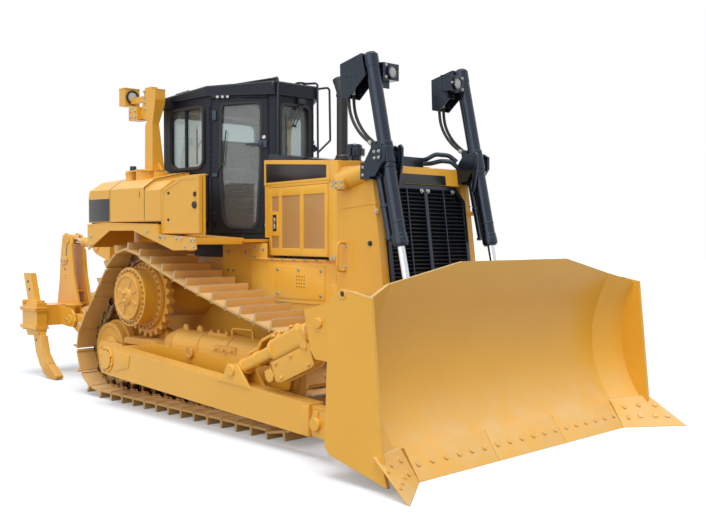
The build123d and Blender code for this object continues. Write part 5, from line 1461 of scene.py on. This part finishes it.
# %% Fixed panes, pillars and the lamp bar
# a ribbed grip on the rear pillar, a panel below it and the lamp bar above
pillar = Bench(chamfer=0.004, place=door_place)
for i in range(13):
    pillar.disc((behind(0.690), 2.345 + 0.054 * i, 0.004), LEFT, 0.009, 0.036, 12)
pillar.block((behind(0.706), behind(0.676)), (1.76, 2.30), (0.001, 0.008))
pillar.block((0.045, 0.239), (3.096, 3.128), (0.002, 0.040), 0.010)
pillar.block((behind(0.664), behind(0.075)), (3.104, 3.126), (0.002, 0.014))
pillar.copy_mirrored()
pillar.finish("cab_pillars", "tractor", cab_paint)
lamps = Bench(chamfer=0, place=door_place)
for d in (0.486, 0.539, 0.592):
    lamps.turned((behind(d), 3.112, 0.040), UP, [(0, 0), (0, 0.015), (0.003, 0.014), (0.004, 0)], 18)
lamps.copy_mirrored()
lamps.finish("door_lamps", "tractor", lens)

side_pane = rounded_outline(-0.786, -0.194, 2.424, 3.026, 0.085)
seals = Bench(chamfer=0)


def seal_pane(pane, opening, axis, lip_width, lip, filler):
    """A rubber lip round a pane, and a filler from the pane to its square opening."""
    seals.ring(grown(pane, lip_width), grown(pane, -0.004), axis, *lip)
    seals.ring(boxed(pane, *opening), grown(pane, -0.006), axis, *filler)


for side in (-1, 1):
    seal_pane(side_pane, (-0.796, -0.184, 2.414, 3.036), "y", 0.024, span(side, 0.664, 0.690),
              span(side, 0.651, 0.672))
front_pane = rounded_outline(-0.186, 0.186, 2.140, 3.034, 0.070)
seal_pane(front_pane, (-0.196, 0.196, 2.124, 3.046), "x", 0.022, (0.446, 0.464), (0.425, 0.452))
rear_pane = rounded_outline(-0.556, 0.556, 2.446, 2.996, 0.080)
seal_pane(rear_pane, (-0.566, 0.566, 2.434, 3.006), "x", 0.022, (-0.942, -0.926), (-0.932, -0.912))
seals.finish("window_seals", "tractor", rubber, smooth=50)
sashes = Bench(chamfer=0.003)
for side in (-1, 1):
    for left, right in ((-0.534, -0.520), (-0.516, -0.500), (-0.786, -0.770), (-0.212, -0.198)):
        sashes.block((left, right), span(side, 0.640, 0.668), (2.43, 3.02))
    sashes.block((-0.500, -0.470), span(side, 0.664, 0.682), (2.66, 2.74))
    sashes.block((-0.680, -0.140), span(side, 0.668, 0.674), (1.75, 2.33))
sashes.block((-0.934, -0.928), (-0.62, 0.62), (2.375, 2.425))
sashes.finish("window_sashes", "tractor", cab_paint)
print("panes sealed")

# %% Wiper, rails, mirror bar and roof
wiper = Bench(chamfer=0.002)
# the motor, its two arms and the blade
wiper.block((0.452, 0.492), (0.020, 0.105), (3.058, 3.112), 0.008)
wiper.turned((0.452, 0.05, 3.02), FORWARD, [(0, 0), (0, 0.020), (0.030, 0.018), (0.034, 0)], 20)
for start, end in (((0.480, 0.066, 3.08), (0.474, -0.046, 2.840)),
                   ((0.480, 0.096, 3.06), (0.474, -0.018, 2.830))):
    wiper.bar(start, end, 0.006, 10, 0.001)
wiper.block((0.466, 0.478), (-0.060, -0.006), (2.818, 2.846))
wiper.block((0.466, 0.476), (-0.142, -0.130), (2.50, 2.93))
wiper.bar((0.473, -0.136, 2.78), (0.474, -0.040, 2.832), 0.005, 10, 0.001)
wiper.finish("front_wiper", "tractor", rubber)
rear_wiper = Bench(chamfer=0.002)
rear_wiper.block((-0.968, -0.930), (-0.05, 0.05), (3.012, 3.050), 0.006)
rear_wiper.bar((-0.955, 0, 3.03), (-0.952, -0.22, 2.70), 0.006, 10, 0.001)
rear_wiper.block((-0.956, -0.946), (-0.235, -0.223), (2.52, 2.90))
rear_wiper.finish("rear_wiper", "tractor", rubber)
# bent rails round the roof, down the front posts and to the mirror
front_rail = [(-0.22, 0.32, 3.215), (-0.22, 0.32, 3.262), (-0.22, 0.40, 3.266), (0.36, 0.225, 3.296),
              (0.498, 0.262, 3.290), (0.498, 0.268, 2.500), (0.440, 0.262, 2.490)]
top_rail = [(-0.22, 0.33, 3.262), (0.30, 0.15, 3.300), (0.36, 0.15, 3.300), (0.36, 0.225, 3.296)]
rear_rail = [(-0.90, 0.54, 3.180), (-0.90, 0.54, 3.236), (-0.62, 0.54, 3.252), (-0.62, 0.54, 3.200)]
rails = [[(x, side * y, z) for x, y, z in line] for side in (-1, 1)
         for line in (front_rail, top_rail, rear_rail)]
rails.append([(0.470, 0.281, 3.235), (0.505, 0.422, 3.262), (0.505, 0.433, 2.715), (0.470, 0.291, 2.582)])
rails.append([(0.470, -0.281, 3.235), (0.500, -0.330, 3.256), (0.500, -0.330, 3.200)])
tubes("cab_rails", "tractor", rails, 0.0115, 0.03, black_paint, corners=12)
roof_trim = Bench(chamfer=0.006)
roof_rim = [(0.476, -0.286), (-0.118, -0.696), (-0.938, -0.696), (-0.938, 0.696), (-0.118, 0.696),
            (0.476, 0.286)]
roof_trim.ring(grown(roof_rim, 0.006), grown(roof_rim, -0.050), "z", 3.124, 3.136)
roof_trim.plate([(-0.80, 3.190), (-0.80, 3.214), (-0.10, 3.244), (-0.10, 3.216)], "y", -0.42, 0.42)
roof_trim.plate([(0.02, 3.226), (0.02, 3.248), (0.34, 3.264), (0.34, 3.238)], "y", -0.26, 0.26)
roof_trim.finish("roof_trim", "tractor", cab_paint)
print("cab outside done")

# %% [markdown]
# ## Cab inside
# Seen through glass, but seen. The seat is a sprung seat with padded cushions in dark
# cloth. A cushion is full in the middle, pulled in at its piped edge and at its sewn
# channels, so each one is a fine grid whose height follows a crown, minus a groove
# along every seam. The weave is a fine bump that follows the cushion's own UV map.
# %% Seat cloth
seat_cloth = coated("seat_cloth", (58, 60, 64), (40, 42, 46), (80, 82, 86), roughness=0.85,
                    dust_and_sheen=0.1, painted_highlight_share=0.1, peel_depth=0.0)
tree = seat_cloth.node_tree
threads = add_node(tree, "ShaderNodeUVMap", uv_map="cushion")
warp, weft = (add_node(tree, "ShaderNodeTexWave", {"Vector": threads.outputs[0], "Scale": 95.0},
                       bands_direction=d) for d in ("X", "Y"))
weave = maths(tree, "MAXIMUM", warp.outputs["Fac"], weft.outputs["Fac"])
cloth_bump = add_node(tree, "ShaderNodeBump", {"Height": weave, "Distance": 0.0008, "Strength": 0.7})
tree.links.new(cloth_bump.outputs[0], tree.nodes["Principled BSDF"].inputs["Normal"])
tree.nodes["Principled BSDF"].inputs["Sheen Weight"].default_value = 0.3


def cushion(name, place, width, depth, low, crown, seams):
    """A crowned closed cushion in the place's x and y, its flat underside at z = low."""
    steps_x, steps_y = 40, 44
    rim_height, seam_depth, seam_half_width = 0.030, 0.016, 0.008
    solid = bmesh.new()
    layer = solid.loops.layers.uv.new("cushion")

    def edge_fall(t):
        """0 at the cushion's edge, 1 a little way in, with a round shoulder."""
        reach = min(1.0, (1 - abs(t)) / 0.22)
        return (1 - (1 - reach) ** 2.6) ** 0.5

    tops, unders = [], []
    for k in range(steps_y + 1):
        for i in range(steps_x + 1):
            u, v = 2 * i / steps_x - 1, 2 * k / steps_y - 1
            pull = 1 - 0.035 * (1 - u * u) * abs(v) ** 6
            waist = 1 - 0.030 * (1 - v * v) * abs(u) ** 6
            x, y = u * width / 2 * waist, v * depth / 2 * pull
            full = edge_fall(u) * edge_fall(v)
            height = rim_height + (crown - rim_height) * full * (1 - 0.16 * (u * u + v * v) / 2)
            for across, at in seams:
                gap = (v - at) * depth / 2 if across else (u - at) * width / 2
                height -= seam_depth * full * (2.718 ** (-(gap / seam_half_width) ** 2))
            tops.append(solid.verts.new(place @ Vector((x, y, low + height))))
            unders.append(solid.verts.new(place @ Vector((x * 0.97, y * 0.97, low))))
    row = steps_x + 1
    for sheet, flip in ((tops, False), (unders, True)):
        for k in range(steps_y):
            for i in range(steps_x):
                corners = [sheet[k * row + i], sheet[k * row + i + 1], sheet[(k + 1) * row + i + 1],
                           sheet[(k + 1) * row + i]]
                solid.faces.new(corners[::-1] if flip else corners)
    rim = list(range(row)) + [k * row + steps_x for k in range(1, steps_y + 1)]
    rim += [steps_y * row + i for i in range(steps_x - 1, -1, -1)]
    rim += [k * row for k in range(steps_y - 1, 0, -1)]
    for a, b in zip(rim, rim[1:] + rim[:1]):
        solid.faces.new([unders[a], unders[b], tops[b], tops[a]])
    back = place.inverted()
    for face in solid.faces:
        for loop in face.loops:
            spot = back @ loop.vert.co
            loop[layer].uv = (spot.x, spot.y)
    bmesh.ops.recalc_face_normals(solid, faces=solid.faces)
    mesh = bpy.data.meshes.new(name)
    solid.to_mesh(mesh)
    solid.free()
    piece = settle(mesh, name, "tractor", seat_cloth, 60)
    return piece


seat_place = leaning((-0.255, 0, 0), RIGHT, FORWARD)
pan = cushion("seat_cushion", seat_place, 0.50, 0.505, 2.018, 0.100,
              [(True, -0.35), (True, 0.15), (False, -0.62), (False, 0.62)])
back_way = Vector((-0.09, 0, 0.64)).normalized()
back_place = leaning((-0.530, 0, 2.14), LEFT, back_way)
back_low = Matrix.Translation(back_place.to_3x3() @ Vector((0, 0.295, 0)))
backrest = cushion("seat_back", back_low @ back_place, 0.47, 0.58, 0.052, 0.085,
                   [(True, -0.45), (True, 0.0), (True, 0.45), (False, -0.58), (False, 0.58)])
shell = Bench(chamfer=0.012)
# the seat's base, suspension box, pan frame, back shell, belt bar and arm posts
shell.block((-0.47, -0.07), (-0.225, 0.225), (1.728, 1.800))
shell.block((-0.44, -0.10), (-0.190, 0.190), (1.790, 1.955))
shell.block((-0.50, -0.03), (-0.235, 0.235), (1.950, 2.018))
shell.plate([(-0.552, 2.120), (-0.492, 2.120), (-0.580, 2.755), (-0.620, 2.755)], "y", -0.225, 0.225)
shell.block((-0.300, -0.245), (-0.325, 0.325), (2.030, 2.062))
for side in (-1, 1):
    shell.block((-0.296, -0.248), span(side, 0.272, 0.318), (2.04, 2.185))
seat_frame = shell.finish("seat_frame", "tractor", plastic)
for piece in (pan, backrest, seat_frame):
    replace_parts(piece, "seat")
for name, side in SIDES:
    arm_place = leaning((-0.20, side * 0.2975, 0), RIGHT, FORWARD)
    rest = cushion(f"armrest_{name}", arm_place, 0.060, 0.42, 2.180, 0.056, [])
    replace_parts(rest, "seat")
print("seat done")

# %% Console and levers
desk = Bench(chamfer=0.008)
# dash, kick panel and pedals, then a lever with its boot on each side
desk.plate([(0.258, 2.384), (0.262, 2.470), (0.300, 2.476), (0.392, 2.384)], "y", -0.150, 0.150)
desk.block((0.246, 0.252), (-0.150, 0.150), (2.16, 2.34))
for side in (-1, 1):
    desk.block((0.06, 0.245), span(side, 0.03, 0.12), (1.735, 1.760))
for side in (-1, 1):
    lever_end = Vector((-0.030, side * 0.298, 2.370))
    desk.turned(lever_end + Vector((-0.006, 0, -0.028)), (0.24, 0, 1),
                [(0, 0), (0, 0.020), (0.02, 0.027), (0.05, 0.029), (0.075, 0.022), (0.085, 0)], 20)
    desk.turned((-0.062, side * 0.298, 2.238), (0.24, 0, 1),
                [(0, 0), (0, 0.040), (0.012, 0.040), (0.03, 0.024), (0.05, 0.022), (0.05, 0)], 20)
desk.finish("console_and_levers", "tractor", plastic)
dials = Bench(chamfer=0)
for y in (-0.09, -0.03, 0.03, 0.09):
    dials.knob((0.2585, y, 2.428), (-1, 0, 0.05), 0.024, 0.004, 0.020, 0.006, 20)
dials.finish("console_dials", "tractor", lens)
print("cab inside done")

# %% [markdown]
# ## Tanks, boxes and roll-over frame
# The side tanks are folded sheet in panels, so thin seams and a blank dark panel break
# up their long sides. The battery box has a full-height door with a folded rim, a latch
# and a round knob. The roll-over posts stand on bolted flanges and carry the rear lamps.
# %% Side tanks and battery door
tank_side, seam_out = 1.235, 0.0015
seams, panels, blank = Bench(chamfer=0), Bench(chamfer=0.004), Bench(chamfer=0.003)
# seams run up the side and over the sloping top
for x in (-1.075, -0.401):
    seams.block((x - 0.003, x + 0.003), (tank_side - 0.004, tank_side + seam_out), (1.866, 2.196))
    seams.plate([(tank_side - 0.004, 2.196), (1.112, 2.286), (0.70, 2.373), (0.70, 2.3822),
                 (1.1105, 2.2922), (tank_side + seam_out, 2.2015)], "x", x - 0.003, x + 0.003)
seams.block((-0.494, -0.488), (tank_side - 0.002, tank_side + 0.003), (2.105, 2.165))
# painted shadow: a dark strip under the tank stands for the shadow line between tank and fender
seams.block((-1.52, -0.12), (0.74, 1.205), (1.846, 1.866))
seams.copy_mirrored()
seams.finish("tank_seams", "tractor", rubber)
blank.block((-1.515, -1.090), (tank_side, tank_side + 0.004), (1.872, 2.108))
blank.copy_mirrored()
blank.finish("tank_blank_panels", "tractor", stripe)
# end plates and foot strips, then two filler necks on a raised pad
panels.block((-1.535, -1.522), (0.76, 1.225), (1.872, 2.10), 0.004)
for rear, front in ((-1.05, -0.43), (-0.40, -0.11)):
    panels.block((rear, front), (tank_side - 0.002, tank_side + 0.003), (1.872, 1.884))
panels.turned((-0.79, 0.975, 2.225), UP, [(0, 0), (0, 0.105), (0.168, 0.105), (0.172, 0.112),
                                          (0.182, 0.112), (0.182, 0)], 36)
panels.turned((-1.02, 1.000, 2.235), UP, [(0, 0), (0, 0.068), (0.130, 0.068), (0.134, 0.076),
                                          (0.150, 0.076), (0.150, 0)], 32)
panels.plate([(-1.04, 1.065), (-0.70, 1.085), (-0.66, 0.99), (-0.70, 0.90), (-1.04, 0.90)], "z",
             2.386, 2.402)
panels.copy_mirrored()
panels.finish("tank_fittings")
cap = Bench(chamfer=0.003)
cap.knob((-1.005, 1.000, 2.402), UP, 0.034, 0.040, 0.028, 0.052, 24)
cap.copy_mirrored()
cap.finish("filler_caps", "tractor", rubber)

door_rim = Bench(chamfer=0.003)
leaf_line = [(-0.088, 1.744), (0.544, 1.744), (0.544, 2.276), (0.263, 2.276), (-0.043, 2.177),
             (-0.088, 2.140)]
rim_line = [(-0.058, 1.778), (0.506, 1.778), (0.506, 2.246), (0.268, 2.246), (-0.028, 2.150),
            (-0.058, 2.124)]
door_rim.ring(leaf_line, rim_line, "y", -1.2385, -1.2345)
door_rim.block((0.478, 0.508), (-1.246, -1.236), (2.128, 2.172))
door_rim.finish("battery_door_rim", "battery_box_door")
knobs = Bench(chamfer=0.002)
knobs.knob((0.478, -1.236, 2.007), RIGHT, 0.033, 0.012, 0.025, 0.020, 28)
knobs.block((0.470, 0.500), (-1.250, -1.240), (2.085, 2.125))
knobs.finish("battery_door_knob", "battery_box_door", rubber)
door_bolts = [((x, -1.235, z), RIGHT) for x, z in ((0.036, 2.130), (0.033, 1.875), (0.490, 2.150))]
bolts("battery_door_bolts", "battery_box_door", door_bolts, 0.022, 0.010, rubber)
side_box = Bench(chamfer=0.003)
side_box.ring(leaf_line, rim_line, "y", 1.2345, 1.2385)
side_box.block((-0.085, 0.540), (1.12, 1.228), (2.283, 2.289), 0.002)
side_box.block((0.27, 0.54), (-1.190, -1.125), (2.283, 2.289), 0.002)
side_box.finish("tool_box_rim")
print("tanks done")

# %% Roll-over frame and rear lamps
posts = Bench(chamfer=0.004)
posts.block((-0.757, -0.666), (0.806, 0.936), (3.234, 3.240))
# gussets at the foot of each post, and flanges at its head
for root, foot in ((-0.735, -0.655), (-0.882, -0.955)):
    posts.plate([(root, 2.402), (foot, 2.402), (root, 2.490)], "y", 0.853, 0.867)
for low, high in ((3.302, 3.314), (3.121, 3.131)):
    posts.block((-1.372, -1.246), (0.766, 0.954), (low, high))
posts.block((-1.185, -1.025), (0.798, 0.942), (3.078, 3.088))
posts.copy_mirrored()
posts.finish("post_fittings")
post_y = 0.86
post_bolts = [((-0.808 + 0.128 * cos(turn), post_y + 0.128 * sin(turn), 2.386), UP)
              for turn in (0.5, 1.25, 1.9, 2.64, 3.64, 4.3, 5.1, 5.8)]
post_bolts += side_spots(0.941, [(-1.105 + 0.05 * k, 2.985 + 0.06 * i) for i in range(2) for k in (-1, 1)])
post_bolts += side_spots(0.896, [(-0.94, z) for z in (3.06, 3.12, 3.18, 3.24)])
bolts("post_bolts", "tractor", both_sides(post_bolts), 0.026, 0.014, zinc)
lamp_rims, lamp_glass = Bench(chamfer=0), Bench(chamfer=0)
for facing, x in ((1, -1.250), (-1, -1.368)):
    lamp_rims.turned((x, post_y, 3.215), (facing, 0, 0),
                     [(0, 0), (0, 0.076), (0.010, 0.078), (0.014, 0.072), (0.014, 0.058), (0.006, 0.056),
                      (0.006, 0)], 32)
    lamp_glass.turned((x + facing * 0.006, post_y, 3.215), (facing, 0, 0),
                      [(0, 0), (0, 0.056), (0.004, 0.052), (0.008, 0.030), (0.009, 0)], 28)
lamp_rims.copy_mirrored()
lamp_glass.copy_mirrored()
lamp_rims.finish("rear_lamp_rims", "tractor", rubber)
lamp_glass.finish("rear_lamp_lenses", "tractor", lens)
shroud = Bench(chamfer=0.006)
# a charcoal cover where the roll-over cross tube meets the roof
shroud.block((-0.868, -0.736), (0.690, 0.792), (3.071, 3.161))
# painted shade: a dark plate fills the gap between the cab and each side box
shroud.plate([(0.69, 1.862), (0.905, 1.862), (0.905, 2.303), (0.69, 2.350)], "x", -0.101, -0.096)
shroud.copy_mirrored()
# painted shade: a dark block fills the space under the cab
shroud.block((-0.775, -0.055), (-0.392, 0.392), (1.500, 1.694))
shroud.finish("frame_shrouds", "tractor", rubber)
print("roll-over frame done")

# %% Fenders and platform
def platform_height(x):
    """The platform falls a little towards the front."""
    return 1.726 - 0.0486 * (x + 0.098)


decks = Bench(chamfer=0.002)
for side in (-1, 1):
    edge = span(side, 1.262, 1.272)
    decks.plate([(-0.098, 1.727), (0.540, 1.696), (0.540, 1.706), (-0.098, 1.737)], "y", *edge)
    decks.plate([(-1.494, 1.832), (-1.150, 1.846), (-0.098, 1.825), (-0.098, 1.836), (-1.150, 1.858),
                 (-1.494, 1.844)], "y", *edge)
    decks.block((0.528, 0.542), span(side, 0.74, 1.262), (1.640, 1.703))
treads = Bench(chamfer=0)
for x in [-0.02 + 0.062 * i for i in range(9)]:
    for y in (0.80, 0.88, 0.96, 1.04):
        treads.turned((x, y, platform_height(x)), UP, [(0, 0), (0, 0.016), (0.004, 0.013), (0.004, 0)], 10)
treads.copy_mirrored()
treads.finish("platform_treads", "tractor", zinc)
decks.finish("platform_edges")
edge_bolts = side_spots(1.271, [(x, platform_height(x) - 0.014)
                                for x in (-0.05, 0.02, 0.22, 0.30, 0.46, 0.52)])
edge_bolts += side_spots(1.271, ((-1.42, 1.72), (-1.42, 1.63), (0.36, 1.62), (0.50, 1.62),
                                 (-0.06, 1.705), (-0.30, 1.762)))
edge_bolts += side_spots(0.43, ((-0.10, 1.558), (0.191, 1.562), (-0.101, 1.363), (-0.012, 1.366)))
bolts("platform_bolts", "tractor", both_sides(edge_bolts), 0.028, 0.012, zinc)
print("platform done")

# %% [markdown]
# ## Ripper
# The ripper hangs on the rear plate: draw frame, tilting beam, two towers and one shank
# in a carrier. Every pin gets a cap and a flat retainer plate with one bolt, every
# cylinder a gland ring and an eye, and the shank a shin guard and a fitted tip. Those
# are the parts that wear and get changed most often.
# %% Pins and their retainers
pin_places = {
    "tractor": [(-2.15, 0.62, 0.772, 0.056), (-2.56, 1.60, 0.590, 0.064), (-2.30, 1.62, 0.330, 0.060)],
    "ripper_beam": [(-3.30, 1.68, 0.590, 0.058), (-2.89, 0.70, 0.772, 0.058)],
    "ripper_drawframe": [(-2.60, 0.668, 0.302, 0.046)]}
for body, places in pin_places.items():
    retainers, screws = Bench(chamfer=0.003), []
    for x, z, y, radius in places:
        retainers.turned((x, y, z), LEFT, [(0, 0), (0, radius), (0.008, radius), (0.012, radius - 0.006),
                                           (0.012, radius * 0.55), (0.008, radius * 0.5), (0.008, 0)], 28)
        retainers.plate([(x - radius * 1.5, z - 0.018), (x - radius * 0.6, z - 0.024),
                         (x - radius * 0.6, z + 0.024), (x - radius * 1.5, z + 0.018)], "y", y, y + 0.014)
        screws.append(((x - radius * 1.2, y + 0.014, z), LEFT))
    retainers.copy_mirrored()
    retainers.finish(f"pin_retainers_{body}", body)
    bolts(f"pin_screws_{body}", body, both_sides(screws), 0.026, 0.012, zinc)
print("pins retained", sum(len(p) for p in pin_places.values()) * 2)

# %% Cylinders
def cylinder_dressing(barrel, rod, base, eye, y, gland_at, barrel_radius, rod_radius, eye_radius, eye_half):
    """Gland, end ring, feed pipe and rod eye of a pair of ripper cylinders."""
    base, eye = Vector((base[0], 0, base[1])), Vector((eye[0], 0, eye[1]))
    way = (eye - base).normalized()
    above = Vector(LEFT).cross(way)
    above = above if above.z > 0 else -above
    rings, eyes, routes = Bench(chamfer=0), Bench(chamfer=0), []
    for side in (-1, 1):
        start = base + Vector((0, side * y, 0))
        for at, length, extra in ((gland_at - 0.045, 0.050, 0.003), (gland_at - 0.060, 0.010, 0.004),
                                  (0.060, 0.022, 0.006)):
            rings.turned(start + way * at, way, [(0, rod_radius + 0.002), (0, barrel_radius + extra),
                                                 (length, barrel_radius + extra),
                                                 (length, rod_radius + 0.002)], 30, hollow=True)
        end = eye + Vector((0, side * y, 0))
        eyes.turned(end - Vector((0, eye_half, 0)), LEFT,
                    [(0, 0), (0, eye_radius - 0.005), (0.005, eye_radius),
                     (2 * eye_half - 0.005, eye_radius), (2 * eye_half, eye_radius - 0.005),
                     (2 * eye_half, 0)], 30)
        routes.append([start + way * at + above * (barrel_radius + rise)
                       for at, rise in ((gland_at - 0.075, -0.004), (gland_at - 0.075, 0.018),
                                        (0.10, 0.018), (0.10, -0.004))])
    rings.finish(f"{barrel}_glands", barrel)
    eyes.finish(f"{rod}_eyes", rod)
    tubes(f"{barrel}_pipes", barrel, routes, 0.010, 0.02, corners=12)


cylinder_dressing("ripper_tilt_barrels", "ripper_tilt_rods", base=(-2.56, 1.60), eye=(-3.30, 1.68), y=0.5,
                  gland_at=0.458, barrel_radius=0.054, rod_radius=0.030, eye_radius=0.060, eye_half=0.050)
cylinder_dressing("ripper_lift_barrels", "ripper_lift_rods", base=(-2.30, 1.62), eye=(-2.60, 0.668), y=0.24,
                  gland_at=0.660, barrel_radius=0.052, rod_radius=0.028, eye_radius=0.053, eye_half=0.031)
print("ripper cylinders dressed")

# %% Beam, towers, carrier and shank
beam = Bench(chamfer=0.004)
for side in (-1, 1):
    # gusset pads and lips up both sides of each tower, then shelves between them
    beam.plate([(-3.470, 1.440), (-3.354, 1.468), (-3.298, 1.430), (-3.310, 1.372), (-3.440, 1.352)], "y",
               *span(side, 0.588, 0.604))
    for inner in (0.41, 0.59):
        beam.plate([(-3.186, 1.56), (-3.135, 1.223), (-3.064, 0.989), (-2.985, 0.80), (-2.975, 0.805),
                    (-3.052, 0.994), (-3.122, 1.226), (-3.172, 1.562)], "y",
                   *span(side, inner - 0.008, inner + 0.008), 0.002)
    beam.plate([(-3.02, 0.868), (-2.87, 0.868), (-2.87, 0.884), (-3.02, 0.884)], "y",
               *span(side, 0.60, 0.772))
    beam.block((-3.545, -3.225), span(side, 0.10, 0.12), (0.868, 0.905))
    beam.block((-3.470, -3.110), span(side, 0.425, 0.575), (0.868, 0.882))
    beam.plate([(-3.455, 1.02), (-3.16, 1.02), (-3.16, 1.036), (-3.455, 1.036)], "y",
               *span(side, 0.438, 0.562))
# the push block at the rear, and the shank's carrier on the right
beam.block((-3.560, -3.210), (0.996, 1.010), (0.630, 0.860))
beam.block((-3.755, -3.742), (-0.19, 0.19), (0.665, 0.825))
for low, high in ((0.824, 0.846), (0.580, 0.602)):
    beam.block((-3.596, -3.150), (-1.092, -0.918), (low, high), 0.006)
beam.plate([(-3.520, 0.582), (-3.140, 0.582), (-3.165, 0.512), (-3.455, 0.488)], "y", -1.052, -0.948, 0.006)
beam.block((-3.575, -3.190), (-1.052, -0.948), (0.845, 0.930), 0.006)
beam.finish("ripper_beam_plates", "ripper_beam")
shank = Bench(chamfer=0.006)
# shin guard, tip, tip pin and the shank pin's head
shank.plate([(-3.127, 0.505), (-3.104, 0.500), (-3.034, 0.296), (-2.918, 0.186), (-2.945, 0.163),
             (-3.062, 0.284)], "y", -1.043, -0.957)
shank.plate([(-2.985, 0.222), (-2.915, 0.178), (-2.712, 0.052), (-2.716, 0.020), (-2.760, 0.005),
             (-2.880, 0.004), (-3.040, 0.050), (-3.075, 0.088)], "y", -1.048, -0.952, 0.010)
shank.disc((-2.955, -1.052, 0.118), LEFT, 0.018, 0.104, 20)
shank.turned((-3.508, -1.052, 0.905), RIGHT, [(0, 0), (0, 0.026), (0.010, 0.030), (0.030, 0.030),
                                              (0.036, 0.020), (0.036, 0)], 24)
shank.finish("shank_guard_and_tip", "ripper_beam", yellow_cast)
# painted shade: bored and slotted holes are dark discs and strips, for the shade inside them
marks, tower_side = Bench(chamfer=0), 0.5895
for x, z, radius in ((-3.465, 1.158, 0.019), (-3.426, 1.062, 0.019), (-3.249, 0.444, 0.017)):
    for y, facing in ((-1.0355, -1), (-0.9645, 1)):
        marks.disc((x, y, z), (0, facing, 0), radius, 0.0015, 22)
for side in (-1, 1):
    for x, z, radius in ((-3.371, 1.301, 0.015), (-3.359, 1.222, 0.008), (-3.345, 1.189, 0.008)):
        marks.disc((x, side * tower_side, z), (0, side, 0), radius, 0.0015, 18)
    marks.plate([(-3.300, 1.700), (-3.286, 1.700), (-3.326, 1.472), (-3.342, 1.472)], "y",
                *span(side, tower_side, tower_side + 0.0017))
marks.finish("ripper_holes", "ripper_beam", rubber)
tower_bolts = side_spots(0.604, ((-3.425, 1.412), (-3.345, 1.418)))
beam_bolts = side_spots(1.010, [(x, z) for x in (-3.52, -3.25) for z in (0.67, 0.82)])
block_bolts = [((-3.752, y, z), BACKWARD) for y in (-0.15, 0.15) for z in (0.70, 0.79)]
bolts("ripper_beam_bolts", "ripper_beam", both_sides(tower_bolts) + beam_bolts + block_bolts, 0.034,
      0.016, zinc)
print("ripper beam done")

# %% Rear plate, draw frame and fuel tank
rear = Bench(chamfer=0.004)
for side in (-1, 1):
    # gussets, pads and covers on the rear plate and the tank
    rear.plate([(-1.960, 1.70), (-2.180, 1.70), (-1.960, 1.30)], "y", *span(side, 0.455, 0.475))
    rear.plate([(-1.960, 0.98), (-2.10, 0.72), (-1.960, 0.60)], "y", *span(side, 0.676, 0.696))
    rear.block((-1.975, -1.958), span(side, 0.09, 0.42), (0.72, 1.16))
    rear.block((-1.972, -1.958), span(side, 0.64, 0.77), (1.05, 1.72))
    rear.block((-1.574, -1.558), span(side, 0.08, 0.62), (1.82, 2.28), 0.006)
# the tank's middle seam, a ledge on the rear plate, the filler cap and the tank's top plate
rear.block((-1.580, -1.560), (-0.045, 0.045), (1.62, 2.34))
rear.plate([(-1.960, 0.56), (-2.04, 0.56), (-2.04, 0.585), (-1.960, 0.585)], "y", -0.59, 0.59)
rear.turned((-1.30, 0.30, 2.352), UP, [(0, 0), (0, 0.062), (0.030, 0.062), (0.034, 0.074), (0.062, 0.074),
                                       (0.070, 0.060), (0.070, 0)], 32)
rear.block((-1.52, -0.98), (-0.60, 0.60), (2.352, 2.368), 0.004)
rear.finish("rear_plate_ribs")
rear_bolts = [((-1.960, y, z), BACKWARD) for y in (0.735, 0.56) for z in (0.62, 0.80, 0.98, 1.16, 1.34)]
rear_bolts += [((-1.975, y, z), BACKWARD) for y in (0.12, 0.39) for z in (0.75, 1.13)]
rear_bolts += [((-1.574, y, z), BACKWARD) for y in (0.11, 0.35, 0.59) for z in (1.85, 2.25)]
bolts("rear_plate_bolts", "tractor", both_sides(rear_bolts), 0.034, 0.016, zinc)
frame_ribs = Bench(chamfer=0.004)
for left, right in ((-0.60, -0.32), (-0.16, 0.16), (0.32, 0.60)):
    frame_ribs.block((-2.70, -2.48), (left, right), (0.588, 0.600))
for side in (-1, 1):
    frame_ribs.plate([(-2.43, 0.555), (-2.30, 0.575), (-2.43, 0.60)], "y", *span(side, 0.60, 0.642))
    frame_ribs.plate([(-2.74, 0.592), (-2.50, 0.592), (-2.56, 0.68), (-2.68, 0.68)], "y",
                     *span(side, 0.44, 0.462))
frame_ribs.finish("draw_frame_ribs", "ripper_drawframe")
rail_line = [(-1.555, 1.90), (-1.620, 1.91), (-1.620, 2.27), (-1.555, 2.28)]
tubes("rear_grab_rails", "tractor",
      [[(x, side * 0.665, z) for x, z in rail_line] for side in (-1, 1)], 0.013, 0.04)
print("ripper done")

# %% [markdown]
# ## Count the pieces
# The last cell prints how many pieces were made and how many faces they have.
# %% Pieces and faces
print("pieces", len(piece_count), "faces", sum(piece_count.values()))
